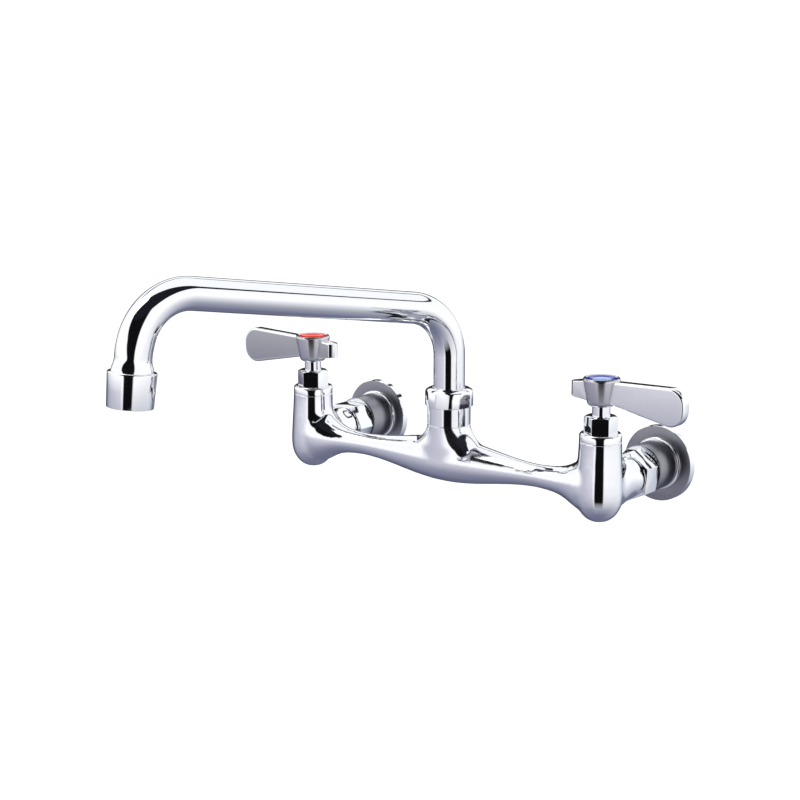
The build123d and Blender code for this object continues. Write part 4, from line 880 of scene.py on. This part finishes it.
nut_foot = low("spout_nut").z / MM
nut_top = high("spout_nut").z / MM
hex_foot = nut_foot + 10.5
nut_hexagon = crowned_hexagon(26.1, hex_foot, nut_top - hex_foot, 20, [
    (0, hex_foot), (12.6, hex_foot), (13.75, hex_foot + 0.6), (13.75, nut_top - 2.4),
    (13.2, nut_top - 1.3), (12.0, nut_top - 0.5), (10.6, nut_top - 0.1), (9.6, nut_top),
    (0, nut_top)], SPOUT_AXIS)
break_edges(nut_hexagon, 0.25)
skirt = bmesh.new()
turned(skirt, [(0, nut_foot), (12.0, nut_foot), (12.3, nut_foot + 0.3),
               (12.3, hex_foot + 1.5), (0, hex_foot + 1.5)], SPOUT_AXIS)
nut = bored(combined("UNION", skirt, nut_hexagon), [
    (0, nut_foot - 1), (10.9, nut_foot - 1), (10.9, nut_top - 5), (9.2, nut_top - 5),
    (9.2, nut_top - 0.4), (9.5, nut_top - 0.1), (9.5, nut_top + 1), (0, nut_top + 1)],
    SPOUT_AXIS)
finish_piece(nut, "spout_union_nut", "root", ["spout_nut"], [CHROME])

# %% [markdown]
# ## Wall flanges, hubs and coupling nuts
# Each union is one turned piece: a wide thin disc that hides the hole in the wall, a hub on
# it, and a neck that sits a little off its middle so that the faucet can be levelled. Disc
# and hub are brushed on the lathe, so their lines run in rings, and their shine gathers in
# bright and dark wedges. That is what the shader's Anisotropic value does, with a tangent
# that runs round the axis.

# %% Ring brushed material
RING_BRUSH, shader = new_material("ring_brushed", (0.35, 0.35, 0.38), 1.0, 0.27)
shader.inputs["Anisotropic"].default_value = 0.75
tree = RING_BRUSH.node_tree
lines = placed_group(RING_BRUSH, brushing, {"Scale": (2, 9000, 1)},
                     add_node(tree, "ShaderNodeUVMap", set_uv_map="turning").outputs["UV"],
                     Satin=0.22, Spread=0.14)
tree.links.new(lines.outputs["Roughness"], shader.inputs["Roughness"])
tree.links.new(ramp(tree, lines.outputs["Shade"], [(0.3, (0.18, 0.18, 0.21)),
                                                   (0.7, (0.38, 0.38, 0.42))]),
               shader.inputs["Base Color"])
tangent = add_node(tree, "ShaderNodeTangent", set_direction_type="UV_MAP",
                   set_uv_map="turning")
tree.links.new(tangent.outputs["Tangent"], shader.inputs["Tangent"])
bump_from(RING_BRUSH, shader, lines.outputs["Height"], 0.12, 0.00003)


def unroll(bm, centre, axis):
    """A UV map whose u goes round an axis and whose v follows the turned outline."""
    layer = bm.loops.layers.uv.new("turning")
    to_axis = Vector(axis).to_track_quat("Z", "Y").to_matrix().inverted()
    for face in bm.faces:
        middle = to_axis @ (face.calc_center_median() - centre)
        around = math.atan2(middle.y, middle.x)
        for loop in face.loops:
            spot = to_axis @ (loop.vert.co - centre)
            angle = math.atan2(spot.y, spot.x)
            if math.hypot(spot.x, spot.y) < 0.01 * MM:
                angle = around
            while angle - around > math.pi:
                angle -= 2 * math.pi
            while around - angle > math.pi:
                angle += 2 * math.pi
            loop[layer].uv = (angle / 2 / math.pi, math.hypot(spot.x, spot.y) - spot.z)


print("ring brushing:", RING_BRUSH.name, "with", len(tree.nodes), "nodes")

# %% Flange, hub and neck
for side, axis in VALVE_AXIS.items():
    wall_spot = Vector((axis.x, 0, 0))
    hub_face = UNION_FACE_Y / MM + 6
    flange = bmesh.new()
    turned(flange, [(9.3, 0), (21.5, 0), (21.5, -4.1), (21.3, -4.4), (20.9, -4.5),
                    (15.2, -4.5), (15.2, -4.9), (14.95, -5.5), (14.4, -5.85), (13.8, -5.9),
                    (13.8, hub_face + 0.5), (13.3, hub_face), (0, hub_face), (0, -14),
                    (9.3, -14)], wall_spot, TO_WALL, steps=128)
    neck = bmesh.new()
    turned(neck, [(0, hub_face + 1), (10.9, hub_face + 1), (10.9, UNION_FACE_Y / MM),
                  (0, UNION_FACE_Y / MM)], wall_spot + TO_BODY_AXIS, TO_WALL)
    union = bored(combined("UNION", flange, neck), [
        (0, -13), (5.5, -13), (5.5, UNION_FACE_Y / MM - 1), (0, UNION_FACE_Y / MM - 1)],
        wall_spot + TO_BODY_AXIS, TO_WALL)
    unroll(union, wall_spot, TO_WALL)
    for face in union.faces:
        spot = face.calc_center_median() - wall_spot
        out = math.hypot(spot.x, spot.z) / MM
        brushed_disc = spot.y < -4.4 * MM and 15.3 < out < 21.2
        brushed_hub = spot.y < -5.9 * MM and 11.5 < out
        face.material_index = int(brushed_disc or brushed_hub)
    finish_piece(union, f"{side}_wall_flange", "root",
                 [f"{side}_inlet_flange"], [CHROME, RING_BRUSH])

# %% [markdown]
# ### Coupling nuts
# Each coupling nut is a plain hexagon with its back corners cut to a cone and a bore that is
# narrow in front, where it holds the tail, and wide behind. The two nuts stand at different
# turns, because a nut stops wherever its thread is tight.

# %% Coupling nuts
CORNER_TURN = {"hot": 0, "cold": -25}
for side, axis in VALVE_AXIS.items():
    centre = Vector((axis.x, 0, BODY_AXIS_Z))
    front, back = NUT_FRONT_Y / MM, NUT_BACK_Y / MM
    blank = crowned_hexagon(25, front, back - front, CORNER_TURN[side], [
        (0, front), (14.2, front), (14.6, front + 0.2), (14.6, back - 1.2), (12.3, back),
        (0, back)], centre, TO_WALL)
    break_edges(blank, 0.2)
    nut = bored(blank, [(0, front - 1), (9.1, front - 1), (9.1, front + 2.2),
                        (11.0, front + 2.2), (11.0, back + 1), (0, back + 1)],
                centre, TO_WALL)
    finish_piece(nut, f"{side}_union_nut", "root", [f"{side}_coupling_nut"],
                 [CHROME])

# %% [markdown]
# ## Bonnets
# The bonnet screws into the barrel and carries the cartridge. Only its ring and its hexagon
# show. The skirt below them is kept, with the room inside for the spindle's flange, so the
# piece is whole when the faucet is taken apart.

# %% Bonnets
for side, axis in VALVE_AXIS.items():
    ring_foot, top = BARREL_TOP_Z / MM, BONNET_TOP_Z / MM
    collar_top = ring_foot + 4.8
    head = crowned_hexagon(16, collar_top - 0.5, top - collar_top + 0.5, 30, [
        (0, collar_top - 0.5), (9.6, collar_top - 0.5), (9.6, top - 0.9), (7.9, top), (0, top)],
        axis)
    break_edges(head, 0.22)
    barrel_ring = bmesh.new()
    turned(barrel_ring, [(0, -4.9), (8.4, -4.9), (8.4, ring_foot), (11.3, ring_foot),
                         (11.6, ring_foot + 0.3), (11.6, collar_top - 1.4),
                         (11.35, collar_top - 0.65), (10.8, collar_top - 0.15),
                         (10.1, collar_top), (0, collar_top)], axis)
    bonnet = bored(combined("UNION", barrel_ring, head), [
        (0, -6), (7.2, -6), (7.2, 8.1), (4.95, 8.1), (4.95, top + 1), (0, top + 1)], axis)
    finish_piece(bonnet, f"{side}_bonnet_nut", "root", [f"{side}_bonnet"], [CHROME])

# %% [markdown]
# ## Levers
# A lever is a casting that is ground on belts: its hub is brushed up and down, the two flat
# sides of its blade are satin, and the rounded edges between them are buffed bright. The
# blade starts as one face in its outline. Its two outer corners are bevelled as vertices,
# the face is extruded to its thickness, and the edges are bevelled, after which every face
# that still looks sideways is one of the satin flats.


# %% Lever blades and hubs
def blade(side, axis, corners, round_ends, thickness, edge_round, end_chamfer=0):
    """A flat plate from (reach, height above the hub's foot) corners."""
    bm = bmesh.new()
    foot = axis + Vector((0, 0, HUB_FOOT_Z))
    verts = [bm.verts.new(foot + Vector((OUTWARD[side] * reach, 0, height)) * MM)
             for reach, height in corners]
    bm.faces.new(verts)
    for place, cut_back in round_ends.items():
        bmesh.ops.bevel(bm, geom=[verts[place]], offset=cut_back * MM, offset_type="OFFSET",
                        segments=16, profile=0.5, affect="VERTICES", clamp_overlap=True,
                        material=-1)
    plate = bmesh.ops.extrude_face_region(bm, geom=bm.faces[:])["geom"]
    moved = [item for item in plate if isinstance(item, bmesh.types.BMVert)]
    bmesh.ops.translate(bm, verts=moved, vec=(0, thickness * MM, 0))
    bmesh.ops.translate(bm, verts=bm.verts, vec=(0, -thickness / 2 * MM, 0))
    bmesh.ops.recalc_face_normals(bm, faces=bm.faces)
    if end_chamfer:
        reach = max(abs(vert.co.x - axis.x) for vert in bm.verts)
        upright = [edge for edge in bm.edges
                   if all(abs(vert.co.x - axis.x) > reach - 0.1 * MM for vert in edge.verts)
                   and abs(edge.verts[0].co.z - edge.verts[1].co.z) > MM]
        bmesh.ops.bevel(bm, geom=upright, offset=end_chamfer * MM, offset_type="OFFSET",
                        segments=1, profile=0.5, affect="EDGES", material=-1)
    rims = [edge for edge in bm.edges
            if abs(sum(face.normal.y for face in edge.link_faces)) > 0.5]
    bmesh.ops.bevel(bm, geom=rims, offset=edge_round * MM, offset_type="OFFSET", segments=6,
                    profile=0.5, affect="EDGES", clamp_overlap=True, material=-1)
    for face in bm.faces:
        face.material_index = 1 if abs(face.normal.y) > 0.999 else 0
    return bm


for side, axis in VALVE_AXIS.items():
    hub = bmesh.new()
    foot = HUB_FOOT_Z / MM
    turned(hub, [(0, foot), (5.6, foot), (6.5, foot + 0.35), (7.3, foot + 1.0),
                 (7.75, foot + 2.1), (8.1, foot + 3.6), (10.2, foot + 14.0),
                 (10.2, foot + 14.5), (9.75, foot + 15.3), (0, foot + 15.3)], axis)
    for face in hub.faces:
        face.material_index = 2 if abs(face.normal.z) < 0.5 else 0
    wing = blade(side, axis, [(0, 3.4), (52, -7.3), (52, 15.7), (0, 14.1)],
                 {1: 11.0, 2: 9.3}, 6.6, 1.3)
    stub = blade(side, axis, [(0, 1.7), (-18.2, 4.0), (-18.2, 11.9), (0, 14.1)], {}, 8.0, 0.5,
                 end_chamfer=2.4)
    lever = bored(combined("UNION", combined("UNION", hub, wing), stub), [
        (0, foot - 1), (4.3, foot - 1), (4.3, foot + 8.55), (1.9, foot + 8.55),
        (1.9, foot + 11.15), (4.45, foot + 11.15), (4.45, foot + 14.2), (9.35, foot + 14.2),
        (9.35, foot + 16), (0, foot + 16)], axis)
    # The satin flats get the painted-shade copy on the hot lever and the painted-light copy on the cold lever.
    finish_piece(lever, f"{side}_wing_lever", f"{side}_handle", [f"{side}_lever"],
                 [CHROME, SATIN_LIT_AND_SHADED_COPIES[side], HUB_BRUSH])

# %% [markdown]
# ## Index buttons
# The coloured cap in each hub tells hot from cold. It is a shallow dish of glossy enamel
# behind a thin plated rim. The enamel is a clear colour where it stands thick in the ring and
# shows the pale metal through it in the dish, so its colour depends on the distance from the
# cap's own middle. The group measures that distance, and both materials give it two colours.

# %% Group: pooled enamel
enamel, given, result = new_group(
    "pooled_enamel",
    [("Vector", "NodeSocketVector", None), ("Dish Radius", "NodeSocketFloat", 0.005),
     ("Ring Colour", "NodeSocketColor", None), ("Dish Colour", "NodeSocketColor", None)],
    [("Colour", "NodeSocketColor"), ("Roughness", "NodeSocketFloat")])
level = add_node(enamel, "ShaderNodeMapping", Scale=(1, 1, 0))
enamel.links.new(given.outputs["Vector"], level.inputs["Vector"])
distance = add_node(enamel, "ShaderNodeVectorMath", set_operation="LENGTH")
enamel.links.new(level.outputs["Vector"], distance.inputs[0])
share = calculate(enamel, "DIVIDE", distance.outputs["Value"], given.outputs["Dish Radius"])
cloud = add_node(enamel, "ShaderNodeTexNoise", Scale=500.0, Detail=3.0)
enamel.links.new(given.outputs["Vector"], cloud.inputs["Vector"])
share = calculate(enamel, "ADD", share,
                  calculate(enamel, "MULTIPLY", cloud.outputs["Fac"], 0.12))
enamel.links.new(mixed(enamel, ramp(enamel, share, [(0.0, 0.0), (0.80, 0.12), (1.0, 1.0)]),
                       given.outputs["Dish Colour"], given.outputs["Ring Colour"]),
                 result.inputs["Colour"])
enamel.links.new(calculate(enamel, "MULTIPLY", cloud.outputs["Fac"], 0.22),
                 result.inputs["Roughness"])
print("group", enamel.name, "with", len(enamel.nodes), "nodes")


# %% Enamel of the index buttons
def index_enamel(name, axis, ring_colour, dish_colour):
    """Glossy enamel whose colour changes with the distance from a valve's axis."""
    material, shader = new_material(name, ring_colour, 0.0, 0.1)
    shader.inputs["Coat Weight"].default_value = 0.15
    tree = material.node_tree
    node = placed_group(material, enamel, {"Location": (-axis.x, -axis.y, 0)},
                        Dish_Radius=6.2 * MM, Ring_Colour=(*ring_colour, 1),
                        Dish_Colour=(*dish_colour, 1))
    tree.links.new(node.outputs["Colour"], shader.inputs["Base Color"])
    tree.links.new(node.outputs["Roughness"], shader.inputs["Roughness"])
    return material


INDEX_COLOURS = {"hot": ("red_index", (0.70, 0.005, 0.012), (0.80, 0.07, 0.02)),
                 "cold": ("blue_index", (0.01, 0.03, 0.30), (0.45, 0.60, 0.95))}
print("index colours:", [colours[0] for colours in INDEX_COLOURS.values()])

# %% Index buttons
for side, axis in VALVE_AXIS.items():
    slot, ring_colour, dish_colour = INDEX_COLOURS[side]
    button = bmesh.new()
    top, seat = BUTTON_TOP_Z / MM, BUTTON_TOP_Z / MM - 1.1
    turned(button, [(3.5, seat - 2), (4.4, seat - 2), (4.4, seat), (9.3, seat),
                    (9.3, top - 0.15), (9.15, top), (8.75, top), (8.5, top - 0.15),
                    (8.3, top - 0.25), (7.0, top - 0.27), (6.3, top - 0.45),
                    (5.6, top - 0.72), (3.2, top - 0.88), (0, top - 0.92), (0, seat),
                    (3.5, seat)], axis)
    for face in button.faces:
        spot = face.calc_center_median() - axis
        face.material_index = int(math.hypot(spot.x, spot.y) < 8.6 * MM
                                  and face.normal.z > 0.3)
    finish_piece(button, f"{side}_colour_cap", f"{side}_handle",
                 [f"{side}_index_button"],
                 [CHROME, index_enamel(f"{slot}_enamel", axis, ring_colour, dish_colour)])

# %% [markdown]
# ## What is inside
# The solids that nobody sees until the faucet is taken apart stay as the frame made them, and
# only get their finish: turned brass, ground steel, lapped ceramic, rubber and moulded
# plastic. The record says which slot each of them belongs to.


# %% Inner pieces
def moulded(name, colour, roughness, grain, depth):
    """Rubber, ceramic or plastic: a faintly uneven colour with a fine grain."""
    material, shader = new_material(name, colour, 0.0, roughness)
    node = placed_group(material, haze, {}, Polish=roughness, Haze=0.12)
    tree = material.node_tree
    tree.links.new(node.outputs["Roughness"], shader.inputs["Roughness"])
    speckle = add_node(tree, "ShaderNodeTexNoise", Scale=grain, Detail=4.0)
    tree.links.new(tree.nodes.new("ShaderNodeTexCoord").outputs["Object"],
                   speckle.inputs["Vector"])
    dark = tuple(channel * 0.82 for channel in colour)
    tree.links.new(ramp(tree, speckle.outputs["Fac"], [(0.35, dark), (0.65, colour)]),
                   shader.inputs["Base Color"])
    bump_from(material, shader, speckle.outputs["Fac"], depth, 0.00005)
    return material


INNER_FINISH = {
    "chrome": CHROME, "chrome_satin": CHROME,
    "brass": brushed("turned_brass", (0.78, 0.55, 0.24), (200, 200, 9000), 0.22, 0.2),
    "steel": brushed("ground_steel", (0.60, 0.60, 0.61), (9000, 200, 200), 0.25, 0.2),
    "ceramic": moulded("lapped_ceramic", (0.88, 0.86, 0.80), 0.12, 700.0, 0.03),
    "rubber": moulded("black_rubber", (0.025, 0.025, 0.027), 0.55, 1500.0, 0.2),
    "acetal": moulded("white_acetal", (0.80, 0.80, 0.77), 0.35, 900.0, 0.06)}
slot_of = {part["node"]: part["material_slot"] for part in frame["record"]["subparts"]}
for name, solid in frame["nodes"].items():
    solid.data.materials.clear()
    solid.data.materials.append(INNER_FINISH.get(slot_of[name], CHROME))
print({slot: sum(value == slot for value in slot_of.values()) for slot in INNER_FINISH})
